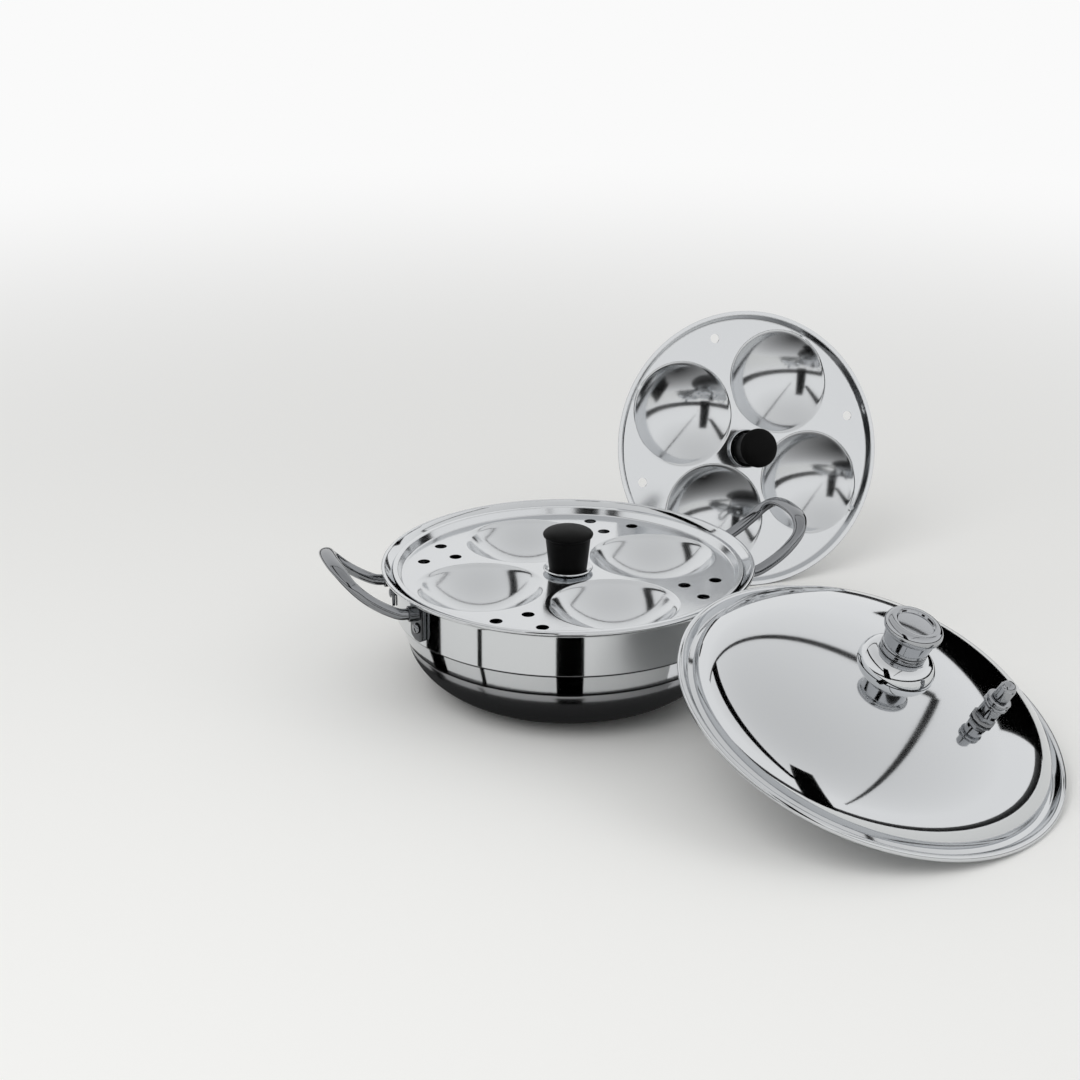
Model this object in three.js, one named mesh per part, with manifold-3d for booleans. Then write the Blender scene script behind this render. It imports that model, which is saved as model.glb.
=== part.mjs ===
// A stainless-steel kadai set for steaming idlis: a round-bottomed vessel with two riveted loop handles,
// a four-cup steaming plate seated in its mouth, a smaller four-cup plate standing on edge behind it,
// and a domed lid with a knob and a steam whistle, leaning on the vessel's rim.
// Millimetres, +Z up. The origin is the centre of the vessel's flat base, and the handles lie along X.

import * as THREE from "three";
import { mergeVertices } from "three/addons/utils/BufferGeometryUtils.js";
import Module from "manifold-3d";

const wasm = await Module();
wasm.setup();

// Clearances
const SEAT_GAP = 0.3; // between a piece and what it rests on
const HOLE_GAP = 0.3; // round a shank or a rod, on the radius

// Vessel
const VESSEL_HEIGHT = 76;
const VESSEL_SHEET = 1;
const BASE_RADIUS = 56; // flat bottom
const BOWL_HEIGHT = 32; // top of the rounded bottom
const BOWL_FULLNESS = 1.75; // exponent of its outline
const WALL_RADIUS = 102; // upper wall
const UPPER_STEP = 1.5; // the wall steps in by this at the upper pressed line
const BAND_TAPER = 4.3; // the band between the lines draws in by this
const LOWER_STEP = 0.9; // step at the lower line, over the rounded bottom
const LINE_RISE = 1; // height of each pressed line
const LINE_CLEARANCE = 3.5; // from the lugs down to the upper pressed line
const FLARE_DROP = 5; // from the rim down to where the wall turns out
const RIM_REACH = 8; // from the wall out to the rim's edge
const RIM_BEAD = 1.2; // radius of the rolled edge

// Handles
const HANDLE_ROD = 3.25; // radius
const HANDLE_HALF_SPREAD = 28; // from the middle of the handle to each arm
const HANDLE_RISE = 27; // from the rod's ends to the grip
const HANDLE_REACH = 43; // from the upper wall to the grip
const GRIP_HALF_WIDTH = 4.6; // the rod is flattened at the grip
const GRIP_HALF_DEPTH = 2.6;
const LUG_THICKNESS = 1.8;
const LUG_HALF_WIDTH = 7.5;
const LUG_CLEARANCE = 0.45; // from the flare's foot down to the lugs
const LUG_MARGIN = 4.8; // from the rivet's head down to the lug's lower end
const SOCKET_WALL = 1;
const SOCKET_LENGTH = 4.6;
const RIVET_RADIUS = 2;
const RIVET_HEAD_RADIUS = 3.2;
const RIVET_HEAD_HEIGHT = 1.7;
const RIVET_TAIL_HEIGHT = 1;
const RIVET_CLEARANCE = 1.25; // from the socket down to the rivet's head

// Steaming plates: the upper one fits the vessel's mouth, the lower one stands behind it
const PLATE_SHEET = 0.9;
const PLATE_EDGE_RISE = 4; // from the flat to the lip
const PLATE_EDGE_WIDTH = 5.6; // from the flat to the outside of the lip
const STEAM_HOLE_SIDES = 8;
const UPPER_PLATE = {
  name: "upper",
  radius: WALL_RADIUS - VESSEL_SHEET + 2.2, // the lip reaches this far over the flare
  cupShare: 0.354, // a cup's opening, of the plate's radius
  cupDepth: 17,
  pitchShare: 0.552, // the circle that the cups' centres lie on, of the plate's radius
  turn: 8, // degrees from the handles' line to the first cup
  holeRadius: 3.7,
  holes: [[0.845, 36], [0.845, 54], [0.69, 45]], // share of the radius, and degrees past each cup
  knobTop: 14.8,
  knobBase: 11.2,
  knobHeight: 26,
};
const LOWER_PLATE = {
  name: "lower",
  radius: WALL_RADIUS - 10, // it hangs lower in the vessel
  cupShare: 0.37,
  cupDepth: 16,
  pitchShare: 0.55,
  turn: 58,
  holeRadius: 3.1,
  holes: [[0.835, 44]],
  knobTop: 13,
  knobBase: 10,
  knobHeight: 25,
};
const LOWER_PLATE_PLACE = { x: 172.5, y: 135.5, facing: -91.5, lean: 18 }; // degrees

// Knobs of the plates and their fastening
const KNOB_INSERT_RADIUS = 5;
const KNOB_INSERT_LENGTH = 14;
const KNOB_SCREW_RADIUS = 2;
const FERRULE_SHEET = 1;
const FERRULE_RISE = 2.2;
const SCREW_HEAD_RADIUS = 4.4;
const SCREW_HEAD_HEIGHT = 2.4;
const WASHER_RADIUS = 6;
const WASHER_THICKNESS = 1;

// Lid
const LID_SHEET = 0.9;
const LID_SETBACK = 0.5; // its edge, inside the vessel's edge
const LID_RIM_WIDTH = 9; // from its edge in to the dome
const LID_BEAD = 1.9;
const LID_HEIGHT = 36; // apex over the rim plane
const DOME_FOOT = 1; // height at which the dome starts
const DOME_FULLNESS = 2.4; // exponents of the dome's outline
const DOME_SHOULDER = 0.5;
const LID_GROOVE_DEPTH = 1.1;
const LID_AZIMUTH = -58; // degrees, from +X, to the side of the vessel that it leans on
const LID_NUDGE = 0.8; // its bead sits this far outside the vessel's bead

// Lid knob
const SKIRT_RADIUS = 21;
const SKIRT_HEIGHT = 9;
const COLLAR_RADIUS = 12.7;
const COLLAR_HEIGHT = 3;
const LID_KNOB_RADIUS = 16;
const LID_KNOB_NECK = 12.4;
const LID_KNOB_HEIGHT = 16.5;
const LID_SCREW_RADIUS = 2.5;

// Steam vent and whistle
const VENT_RADIUS = 52; // from the middle of the lid
const VENT_TURN = 13; // degrees, from the lid's lowest side
const VENT_SHANK = 4;
const VENT_NOZZLE = 2.2;
const VENT_BORE = 0.95;
const VENT_HEX = 6;
const VENT_HEX_HEIGHT = 2.6;
const VENT_NOZZLE_HEIGHT = 7;
const VENT_THREAD = 5.5; // below the lid
const GASKET_THICKNESS = 1.2;
const NUT_HEIGHT = 3;
const NUT_HEX = 6.6;
const WHISTLE_SKIRT = 5.6;
const WHISTLE_SKIRT_HEIGHT = 6.4;
const WHISTLE_FLANGE = 6.8;
const WHISTLE_FLANGE_HEIGHT = 5.4;
const WHISTLE_CAP = 4.5;
const WHISTLE_CAP_HEIGHT = 11;
const WHISTLE_SPIGOT = 2.6;
const WHISTLE_NOTCHES = 4;
const NOTCH_WIDTH = 2.6;
const NOTCH_HEIGHT = 1.8;
const NEEDLE_RADIUS = 0.6;
const NEEDLE_HEAD = 0.8;
const NEEDLE_LENGTH = 3.6;

// Facets round a revolved piece
const LARGE_SIDES = 40;
const CUP_SIDES = 14;
const KNOB_SIDES = 18;
const SMALL_SIDES = 10;

const steel = new THREE.MeshStandardMaterial({ color: 0xc9ccd1, roughness: 0.12, metalness: 1 });
const bakelite = new THREE.MeshStandardMaterial({ color: 0x0d0d0d, roughness: 0.4, metalness: 0 });
const brass = new THREE.MeshStandardMaterial({ color: 0xb08d45, roughness: 0.35, metalness: 1 });
const silicone = new THREE.MeshStandardMaterial({ color: 0x8d8f90, roughness: 0.7, metalness: 0 });

const radians = THREE.MathUtils.degToRad;

// Solids

// A closed geometry as a solid whose faces point out.
function toSolid(geometry) {
  const bare = geometry.clone();
  bare.deleteAttribute("normal");
  bare.deleteAttribute("uv");
  const merged = mergeVertices(bare, 1e-4);
  const index = merged.index.array;
  const triVerts = [];
  for (let i = 0; i < index.length; i += 3) {
    const [a, b, c] = [index[i], index[i + 1], index[i + 2]];
    if (a !== b && b !== c && c !== a) triVerts.push(a, b, c);
  }
  const make = (triangles) =>
    new wasm.Manifold(
      new wasm.Mesh({
        numProp: 3,
        vertProperties: merged.attributes.position.array,
        triVerts: new Uint32Array(triangles),
      }),
    );
  const made = make(triVerts);
  if (made.volume() > 0) return made;
  const turned = [];
  for (let i = 0; i < triVerts.length; i += 3) turned.push(triVerts[i], triVerts[i + 2], triVerts[i + 1]);
  return make(turned);
}

function toGeometry(solid) {
  const mesh = solid.getMesh();
  const positions = new Float32Array(mesh.numVert * 3);
  for (let i = 0; i < mesh.numVert; i++) {
    const start = i * mesh.numProp;
    positions.set(mesh.vertProperties.subarray(start, start + 3), i * 3);
  }
  return new THREE.BufferGeometry()
    .setAttribute("position", new THREE.BufferAttribute(positions, 3))
    .setIndex(new THREE.BufferAttribute(mesh.triVerts, 1));
}

// A profile of [radius, height] points turned about Z. It starts and ends on the axis or is closed here.
function revolve(profile, sides = LARGE_SIDES) {
  const points = profile.map(([r, z]) => new THREE.Vector2(r, z));
  if (profile[0][0] > 0) points.push(points[0].clone());
  return toSolid(new THREE.LatheGeometry(points, sides).rotateX(Math.PI / 2));
}

function ring(inner, outer, bottom, top, sides = SMALL_SIDES) {
  return revolve([[inner, bottom], [outer, bottom], [outer, top], [inner, top]], sides);
}

function rod(radius, bottom, top, sides = SMALL_SIDES) {
  return revolve([[0, bottom], [radius, bottom], [radius, top], [0, top]], sides);
}

function box(width, depth, height, x, y, z) {
  return toSolid(new THREE.BoxGeometry(width, depth, height).translate(x, y, z));
}

// Points along an arc of an ellipse, ends included.
function arc(centre, radii, from, to, steps) {
  return Array.from({ length: steps + 1 }, (_, i) => {
    const angle = radians(from + ((to - from) * i) / steps);
    return [centre[0] + radii[0] * Math.cos(angle), centre[1] + radii[1] * Math.sin(angle)];
  });
}

// A solid moved by a matrix.
function moved(solid, matrix) {
  return toSolid(toGeometry(solid).applyMatrix4(matrix));
}

function turnedAboutZ(solid, degrees) {
  return moved(solid, new THREE.Matrix4().makeRotationZ(radians(degrees)));
}

function named(name, solid, material) {
  const mesh = new THREE.Mesh(toGeometry(solid), material);
  mesh.name = name;
  return mesh;
}

// Vessel

const bandRadius = WALL_RADIUS - UPPER_STEP;
const bandFootRadius = bandRadius - BAND_TAPER;
const shoulderRadius = bandFootRadius - LOWER_STEP;
const rimRadius = WALL_RADIUS + RIM_REACH;
const flareHeight = VESSEL_HEIGHT - FLARE_DROP;
const socketRadius = HANDLE_ROD + HOLE_GAP + SOCKET_WALL;
const handleHeight = flareHeight - LUG_CLEARANCE - socketRadius;
const rivetHeight = handleHeight - socketRadius - RIVET_CLEARANCE - RIVET_HEAD_RADIUS;
const lugBottom = rivetHeight - RIVET_HEAD_RADIUS - LUG_MARGIN;
const upperLineHeight = lugBottom - LINE_CLEARANCE;
const rimBeadRadius = rimRadius - RIM_BEAD;
const rimBeadHeight = VESSEL_HEIGHT - RIM_BEAD;
const RIM_BEAD_START = 215; // degrees round the bead, where the flare's outside meets it
const RIM_BEAD_END = 525; // where the flare's inside leaves it

// The flare's inner face, from the wall to the rolled edge.
const rimBead = arc([rimBeadRadius, rimBeadHeight], [RIM_BEAD, RIM_BEAD], RIM_BEAD_START, RIM_BEAD_END, 7);
const flareTop = rimBead[rimBead.length - 1];
const flareFoot = [WALL_RADIUS - VESSEL_SHEET, flareHeight + 0.3 * VESSEL_SHEET];

function flareHeightAt(radius) {
  const slope = (flareTop[1] - flareFoot[1]) / (flareTop[0] - flareFoot[0]);
  return flareFoot[1] + slope * (radius - flareFoot[0]);
}

function bowlOutline(sheet) {
  const STEPS = 7;
  return Array.from({ length: STEPS + 1 }, (_, i) => {
    const angle = ((Math.PI / 2) * i) / STEPS;
    const out = Math.sin(angle) ** (2 / BOWL_FULLNESS);
    const down = Math.max(0, Math.cos(angle)) ** (2 / BOWL_FULLNESS);
    return [
      BASE_RADIUS + out * (shoulderRadius - BASE_RADIUS - sheet),
      BOWL_HEIGHT - down * (BOWL_HEIGHT - sheet),
    ];
  });
}

function vesselSide(sheet) {
  return [
    [0, sheet],
    ...bowlOutline(sheet),
    [bandFootRadius - sheet, BOWL_HEIGHT + LINE_RISE],
    [bandRadius - sheet, upperLineHeight],
    [WALL_RADIUS - sheet, upperLineHeight + LINE_RISE],
  ];
}

function lugAngle(side) {
  return (side * Math.asin(HANDLE_HALF_SPREAD / WALL_RADIUS) * 180) / Math.PI;
}

// A drill along X at the rivets' height, turned to a lug.
function rivetDrill(degrees, length) {
  const alongX = rod(RIVET_RADIUS + HOLE_GAP, -length, length);
  const matrix = new THREE.Matrix4()
    .makeRotationZ(radians(degrees))
    .multiply(new THREE.Matrix4().makeTranslation(WALL_RADIUS, 0, rivetHeight))
    .multiply(new THREE.Matrix4().makeRotationY(Math.PI / 2));
  return moved(alongX, matrix);
}

const lugDirections = [
  { name: "right_front", degrees: lugAngle(-1) },
  { name: "right_back", degrees: lugAngle(1) },
  { name: "left_front", degrees: 180 + lugAngle(1) },
  { name: "left_back", degrees: 180 + lugAngle(-1) },
];

function vesselShell() {
  const shell = revolve([
    ...vesselSide(0),
    [WALL_RADIUS, flareHeight],
    ...rimBead,
    flareFoot,
    ...vesselSide(VESSEL_SHEET).reverse(),
  ]);
  const drill = 3 * VESSEL_SHEET;
  return lugDirections.reduce((solid, lug) => solid.subtract(rivetDrill(lug.degrees, drill)), shell);
}

// Handles: a bent rod, round in its arms and flattened at the grip. Modelled on +X.

const lugFace = WALL_RADIUS + SEAT_GAP + LUG_THICKNESS;
const armStart = Math.cos(radians(lugAngle(1))) * lugFace + SEAT_GAP;

function handleRod() {
  const gripX = WALL_RADIUS + HANDLE_REACH - GRIP_HALF_DEPTH;
  const rise = (share) => handleHeight + share * HANDLE_RISE;
  const reach = (share) => armStart + share * (gripX - armStart);
  const arm = [
    [armStart, 1, 0],
    [reach(0.1), 1, 0],
    [reach(0.22), 1, 0.02],
    [reach(0.45), 1, 0.2],
    [reach(0.68), 0.98, 0.46],
    [reach(0.86), 0.9, 0.74],
    [reach(0.96), 0.62, 0.94],
  ].map(([x, y, z]) => [x, y * HANDLE_HALF_SPREAD, rise(z)]);
  const route = [
    ...arm,
    [gripX, 0, rise(1)],
    ...arm.map(([x, y, z]) => [x, -y, z]).reverse(),
  ].map((point) => new THREE.Vector3(...point));
  const curve = new THREE.CatmullRomCurve3(route, false, "centripetal");
  const STEPS = 22;
  const SIDES = 8;
  const GRIP_SHARE = 0.24; // of the rod's length, each side of its middle
  const positions = [];
  const index = [];
  const frames = curve.computeFrenetFrames(STEPS, false);
  for (let i = 0; i <= STEPS; i++) {
    const share = i / STEPS;
    const centre = curve.getPointAt(share);
    const tangent = frames.tangents[i];
    const across = new THREE.Vector3().crossVectors(new THREE.Vector3(0, 0, 1), tangent).normalize();
    const up = new THREE.Vector3().crossVectors(tangent, across);
    const flat = THREE.MathUtils.smoothstep(GRIP_SHARE - Math.abs(share - 0.5), 0, GRIP_SHARE * 0.7);
    const depth = THREE.MathUtils.lerp(HANDLE_ROD, GRIP_HALF_DEPTH, flat);
    const width = THREE.MathUtils.lerp(HANDLE_ROD, GRIP_HALF_WIDTH, flat);
    for (let k = 0; k < SIDES; k++) {
      const angle = (2 * Math.PI * k) / SIDES;
      const point = centre
        .clone()
        .addScaledVector(up, depth * Math.cos(angle))
        .addScaledVector(across, width * Math.sin(angle));
      positions.push(...point.toArray());
    }
  }
  for (let i = 0; i < STEPS; i++)
    for (let k = 0; k < SIDES; k++) {
      const [a, b] = [i * SIDES + k, i * SIDES + ((k + 1) % SIDES)];
      index.push(a, b, a + SIDES, b, b + SIDES, a + SIDES);
    }
  const last = STEPS * SIDES;
  for (let k = 1; k < SIDES - 1; k++) {
    index.push(0, k + 1, k);
    index.push(last, last + k, last + k + 1);
  }
  const geometry = new THREE.BufferGeometry()
    .setAttribute("position", new THREE.Float32BufferAttribute(positions, 3))
    .setIndex(index);
  return toSolid(geometry);
}

// A lug: a round-ended tab bent to the wall, with a short socket that the rod's end sits in.
function lug(degrees) {
  const tabTop = handleHeight + socketRadius;
  const tab = new THREE.Shape();
  const corner = LUG_HALF_WIDTH * 0.6;
  tab.moveTo(-LUG_HALF_WIDTH, tabTop);
  tab.lineTo(-LUG_HALF_WIDTH, lugBottom + corner);
  tab.quadraticCurveTo(-LUG_HALF_WIDTH, lugBottom, corner - LUG_HALF_WIDTH, lugBottom);
  tab.lineTo(LUG_HALF_WIDTH - corner, lugBottom);
  tab.quadraticCurveTo(LUG_HALF_WIDTH, lugBottom, LUG_HALF_WIDTH, lugBottom + corner);
  tab.lineTo(LUG_HALF_WIDTH, tabTop);
  const cutter = new THREE.ExtrudeGeometry(tab, { depth: WALL_RADIUS, bevelEnabled: false, curveSegments: 3 })
    .rotateX(Math.PI / 2)
    .rotateZ(Math.PI / 2)
    .translate(WALL_RADIUS / 2, 0, 0);
  const strip = ring(WALL_RADIUS + SEAT_GAP, lugFace, lugBottom - 1, tabTop + 1, LARGE_SIDES * 2);
  const bent = turnedAboutZ(strip.intersect(toSolid(cutter)), degrees);
  const side = Math.abs(degrees) > 90 ? -1 : 1;
  const y = WALL_RADIUS * Math.sin(radians(degrees));
  const alongX = (radius, from, to) =>
    moved(
      rod(radius, from, to),
      new THREE.Matrix4()
        .makeTranslation(0, y, handleHeight)
        .multiply(new THREE.Matrix4().makeRotationY((side * Math.PI) / 2)),
    );
  const mouth = armStart + SOCKET_LENGTH;
  const socketFoot = armStart - SEAT_GAP - LUG_THICKNESS;
  const inWall = rod(lugFace - LUG_THICKNESS / 2, 0, VESSEL_HEIGHT, LARGE_SIDES * 2);
  const socket = alongX(socketRadius, socketFoot - LUG_THICKNESS, mouth).subtract(inWall);
  const bore = alongX(HANDLE_ROD + HOLE_GAP, armStart - SEAT_GAP, mouth + 1);
  return bent.add(socket).subtract(bore).subtract(rivetDrill(degrees, WALL_RADIUS / 4));
}

// A rivet: a domed head on the lug, a shank through the wall and a flat tail inside the vessel.
function rivet(degrees) {
  const head = lugFace + SEAT_GAP;
  const tail = (WALL_RADIUS - VESSEL_SHEET) * Math.cos(Math.PI / LARGE_SIDES) - 2 * SEAT_GAP;
  const solid = revolve(
    [
      [0, tail - RIVET_TAIL_HEIGHT],
      [RIVET_HEAD_RADIUS * 0.9, tail - RIVET_TAIL_HEIGHT],
      [RIVET_HEAD_RADIUS, tail],
      [RIVET_RADIUS, tail],
      [RIVET_RADIUS, head],
      ...arc([0, head], [RIVET_HEAD_RADIUS, RIVET_HEAD_HEIGHT], 0, 90, 3),
    ],
    SMALL_SIDES,
  );
  const matrix = new THREE.Matrix4()
    .makeRotationZ(radians(degrees))
    .multiply(new THREE.Matrix4().makeTranslation(0, 0, rivetHeight))
    .multiply(new THREE.Matrix4().makeRotationY(Math.PI / 2));
  return moved(solid, matrix);
}

function vesselGroup() {
  const group = new THREE.Group();
  group.add(named("kadai_shell", vesselShell(), steel));
  const handle = handleRod();
  group.add(named("right_handle", handle, steel));
  group.add(named("left_handle", turnedAboutZ(handle, 180), steel));
  for (const { name, degrees } of lugDirections) {
    group.add(named(`${name}_lug`, lug(degrees), steel));
    group.add(named(`${name}_rivet`, rivet(degrees), steel));
  }
  return group;
}

// Steaming plates, with the top of the flat at Z = 0

function plateEdge(spec) {
  const flat = spec.radius - PLATE_EDGE_WIDTH;
  const lip = PLATE_EDGE_RISE;
  const t = PLATE_SHEET;
  return {
    top: [
      [flat, 0],
      [flat + 1, 0.2],
      [flat + 2.6, lip],
      [flat + 3.6, lip + 0.5],
      [spec.radius - 0.7, lip + 0.5],
      [spec.radius, lip],
    ],
    under: [
      [spec.radius - 0.3, lip - 0.5],
      [flat + 3.6, lip - 0.45],
      [flat + 2.9, lip - 0.8],
      [flat + 1.2, -0.75],
      [flat + 0.2, -t],
    ],
  };
}

// The space inside a cup, down from just over the flat, grown by a wall.
function cupSpace(spec, wall, top) {
  const opening = spec.cupShare * spec.radius;
  const sphere = (opening ** 2 + spec.cupDepth ** 2) / (2 * spec.cupDepth);
  const centre = sphere - spec.cupDepth;
  const open = Math.asin(opening / sphere);
  const RINGS = 3;
  const profile = [];
  for (let i = 0; i <= RINGS; i++) {
    const angle = (open * i) / RINGS;
    profile.push([(sphere + wall) * Math.sin(angle), centre - (sphere + wall) * Math.cos(angle)]);
  }
  return revolve([...profile, [profile[RINGS][0], top], [0, top]], CUP_SIDES);
}

function pressedPlate(spec) {
  const edge = plateEdge(spec);
  let plate = revolve([[0, 0], ...edge.top, ...edge.under, [0, -PLATE_SHEET]]);
  const cups = [];
  const cuts = [rod(KNOB_SCREW_RADIUS + HOLE_GAP, -2 * PLATE_SHEET, PLATE_SHEET)];
  for (let quarter = 0; quarter < 4; quarter++) {
    const at = (share, degrees) =>
      new THREE.Matrix4()
        .makeRotationZ(radians(spec.turn + 90 * quarter + degrees))
        .multiply(new THREE.Matrix4().makeTranslation(share * spec.radius, 0, 0));
    cups.push(moved(cupSpace(spec, PLATE_SHEET, -PLATE_SHEET / 2), at(spec.pitchShare, 0)));
    cuts.push(moved(cupSpace(spec, 0, PLATE_SHEET), at(spec.pitchShare, 0)));
    for (const [share, degrees] of spec.holes) {
      const hole = rod(spec.holeRadius, -2 * PLATE_SHEET, PLATE_SHEET, STEAM_HOLE_SIDES);
      cuts.push(moved(hole, at(share, degrees)));
    }
  }
  for (const cup of cups) plate = plate.add(cup);
  for (const cut of cuts) plate = plate.subtract(cut);
  return plate;
}

// The knob's stack over and under the plate: ferrule, bakelite knob with its brass insert, washer and screw.
function plateKnob(spec) {
  const knobFoot = SEAT_GAP + FERRULE_SHEET + SEAT_GAP;
  const knobTop = knobFoot + spec.knobHeight;
  const brim = knobTop - 6;
  const boreRadius = KNOB_INSERT_RADIUS + HOLE_GAP;
  const boreTop = knobFoot + KNOB_INSERT_LENGTH + SEAT_GAP;
  const screwHole = KNOB_SCREW_RADIUS + HOLE_GAP;
  const washerTop = -PLATE_SHEET - SEAT_GAP;
  const headTop = washerTop - WASHER_THICKNESS - SEAT_GAP;
  const ferruleFlat = spec.knobBase + 1;
  const ferrule = revolve(
    [
      [screwHole, SEAT_GAP],
      [ferruleFlat, SEAT_GAP],
      [spec.knobTop, FERRULE_RISE],
      [spec.knobTop - 0.5, FERRULE_RISE + FERRULE_SHEET * 0.7],
      [ferruleFlat - 0.4, SEAT_GAP + FERRULE_SHEET],
      [screwHole, SEAT_GAP + FERRULE_SHEET],
    ],
    KNOB_SIDES,
  );
  const knob = revolve(
    [
      [0, boreTop],
      [boreRadius, boreTop],
      [boreRadius, knobFoot],
      [spec.knobBase, knobFoot],
      [spec.knobTop - 1.4, brim],
      [spec.knobTop - 0.3, brim + 0.6],
      ...arc([0, brim + 1.6], [spec.knobTop, knobTop - brim - 1.6], 0, 90, 4),
    ],
    KNOB_SIDES,
  );
  const insert = ring(screwHole, KNOB_INSERT_RADIUS, knobFoot, knobFoot + KNOB_INSERT_LENGTH);
  const washer = ring(screwHole, WASHER_RADIUS, washerTop - WASHER_THICKNESS, washerTop);
  const screw = revolve(
    [
      [0, headTop - SCREW_HEAD_HEIGHT],
      [SCREW_HEAD_RADIUS * 0.7, headTop - SCREW_HEAD_HEIGHT],
      [SCREW_HEAD_RADIUS, headTop - SCREW_HEAD_HEIGHT / 2],
      [SCREW_HEAD_RADIUS, headTop],
      [KNOB_SCREW_RADIUS, headTop],
      [KNOB_SCREW_RADIUS, knobFoot + KNOB_INSERT_LENGTH - 2],
      [0, knobFoot + KNOB_INSERT_LENGTH - 2],
    ],
    SMALL_SIDES,
  );
  return { ferrule, knob, insert, washer, screw };
}

function plateGroup(spec) {
  const group = new THREE.Group();
  const { ferrule, knob, insert, washer, screw } = plateKnob(spec);
  group.add(named(`${spec.name}_plate`, pressedPlate(spec), steel));
  group.add(named(`${spec.name}_knob_ferrule`, ferrule, steel));
  group.add(named(`${spec.name}_knob`, knob, bakelite));
  group.add(named(`${spec.name}_knob_insert`, insert, brass));
  group.add(named(`${spec.name}_knob_washer`, washer, steel));
  group.add(named(`${spec.name}_knob_screw`, screw, steel));
  return group;
}

// The upper plate's lip rests on the flare.
function seatUpperPlate(group) {
  const lipUnder = plateEdge(UPPER_PLATE).under[0];
  const lipEdge = plateEdge(UPPER_PLATE).top.at(-1);
  const need = ([radius, height]) => flareHeightAt(radius) - height;
  group.position.z = Math.max(need(lipUnder), need(lipEdge)) + SEAT_GAP;
}

// The lower plate stands on its edge, leaning back.
function standLowerPlate(group) {
  const { x, y, facing, lean } = LOWER_PLATE_PLACE;
  const edge = plateEdge(LOWER_PLATE);
  const tilt = radians(90 - lean);
  const lowest = ([radius, height]) => height * Math.cos(tilt) - radius * Math.sin(tilt);
  group.rotation.set(0, tilt, radians(facing), "ZYX");
  group.position.set(x, y, -Math.min(...[...edge.top, ...edge.under].map(lowest)));
}

// Lid, with its rim plane at Z = 0

const lidRadius = rimRadius - LID_SETBACK;
const domeRadius = lidRadius - LID_RIM_WIDTH;
const lidBeadRadius = lidRadius - LID_BEAD;
const domeHeight = LID_HEIGHT - DOME_FOOT;

function domeHeightAt(radius, sheet) {
  const share = Math.min(1, radius / (domeRadius - sheet));
  return DOME_FOOT + (domeHeight - sheet) * (1 - share ** DOME_FULLNESS) ** DOME_SHOULDER;
}

function domeSlopeAt(radius) {
  const step = 0.01;
  return (domeHeightAt(radius + step, 0) - domeHeightAt(radius - step, 0)) / (2 * step);
}

function domeOutline(sheet) {
  const shares = [0, 0.28, 0.5, 0.68, 0.81, 0.9, 0.955, 0.985, 1];
  return shares.map((share) => {
    const radius = share * (domeRadius - sheet);
    return [radius, domeHeightAt(radius, sheet)];
  });
}

const ventFrame = (() => {
  const slope = Math.atan(-domeSlopeAt(VENT_RADIUS));
  return new THREE.Matrix4()
    .makeRotationZ(radians(VENT_TURN))
    .multiply(new THREE.Matrix4().makeTranslation(VENT_RADIUS, 0, domeHeightAt(VENT_RADIUS, 0)))
    .multiply(new THREE.Matrix4().makeRotationY(slope));
})();

function lidShell() {
  const grooveRadius = (domeRadius + lidBeadRadius - LID_BEAD) / 2;
  const grooveFloor = DOME_FOOT - LID_GROOVE_DEPTH;
  const bead = arc([lidBeadRadius, LID_BEAD], [LID_BEAD, LID_BEAD], 165, -145, 6);
  const shell = revolve([
    ...domeOutline(0),
    [grooveRadius, grooveFloor],
    ...bead,
    [grooveRadius + LID_SHEET * 0.8, grooveFloor - LID_SHEET],
    [grooveRadius - LID_SHEET * 0.8, grooveFloor - LID_SHEET],
    ...domeOutline(LID_SHEET).reverse(),
  ]);
  const screwHole = rod(LID_SCREW_RADIUS + HOLE_GAP, LID_HEIGHT - 4 * LID_SHEET, LID_HEIGHT + LID_SHEET);
  const ventHole = moved(rod(VENT_SHANK + HOLE_GAP, -4 * LID_SHEET, 3 * LID_SHEET), ventFrame);
  return shell.subtract(screwHole).subtract(ventHole);
}

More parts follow.
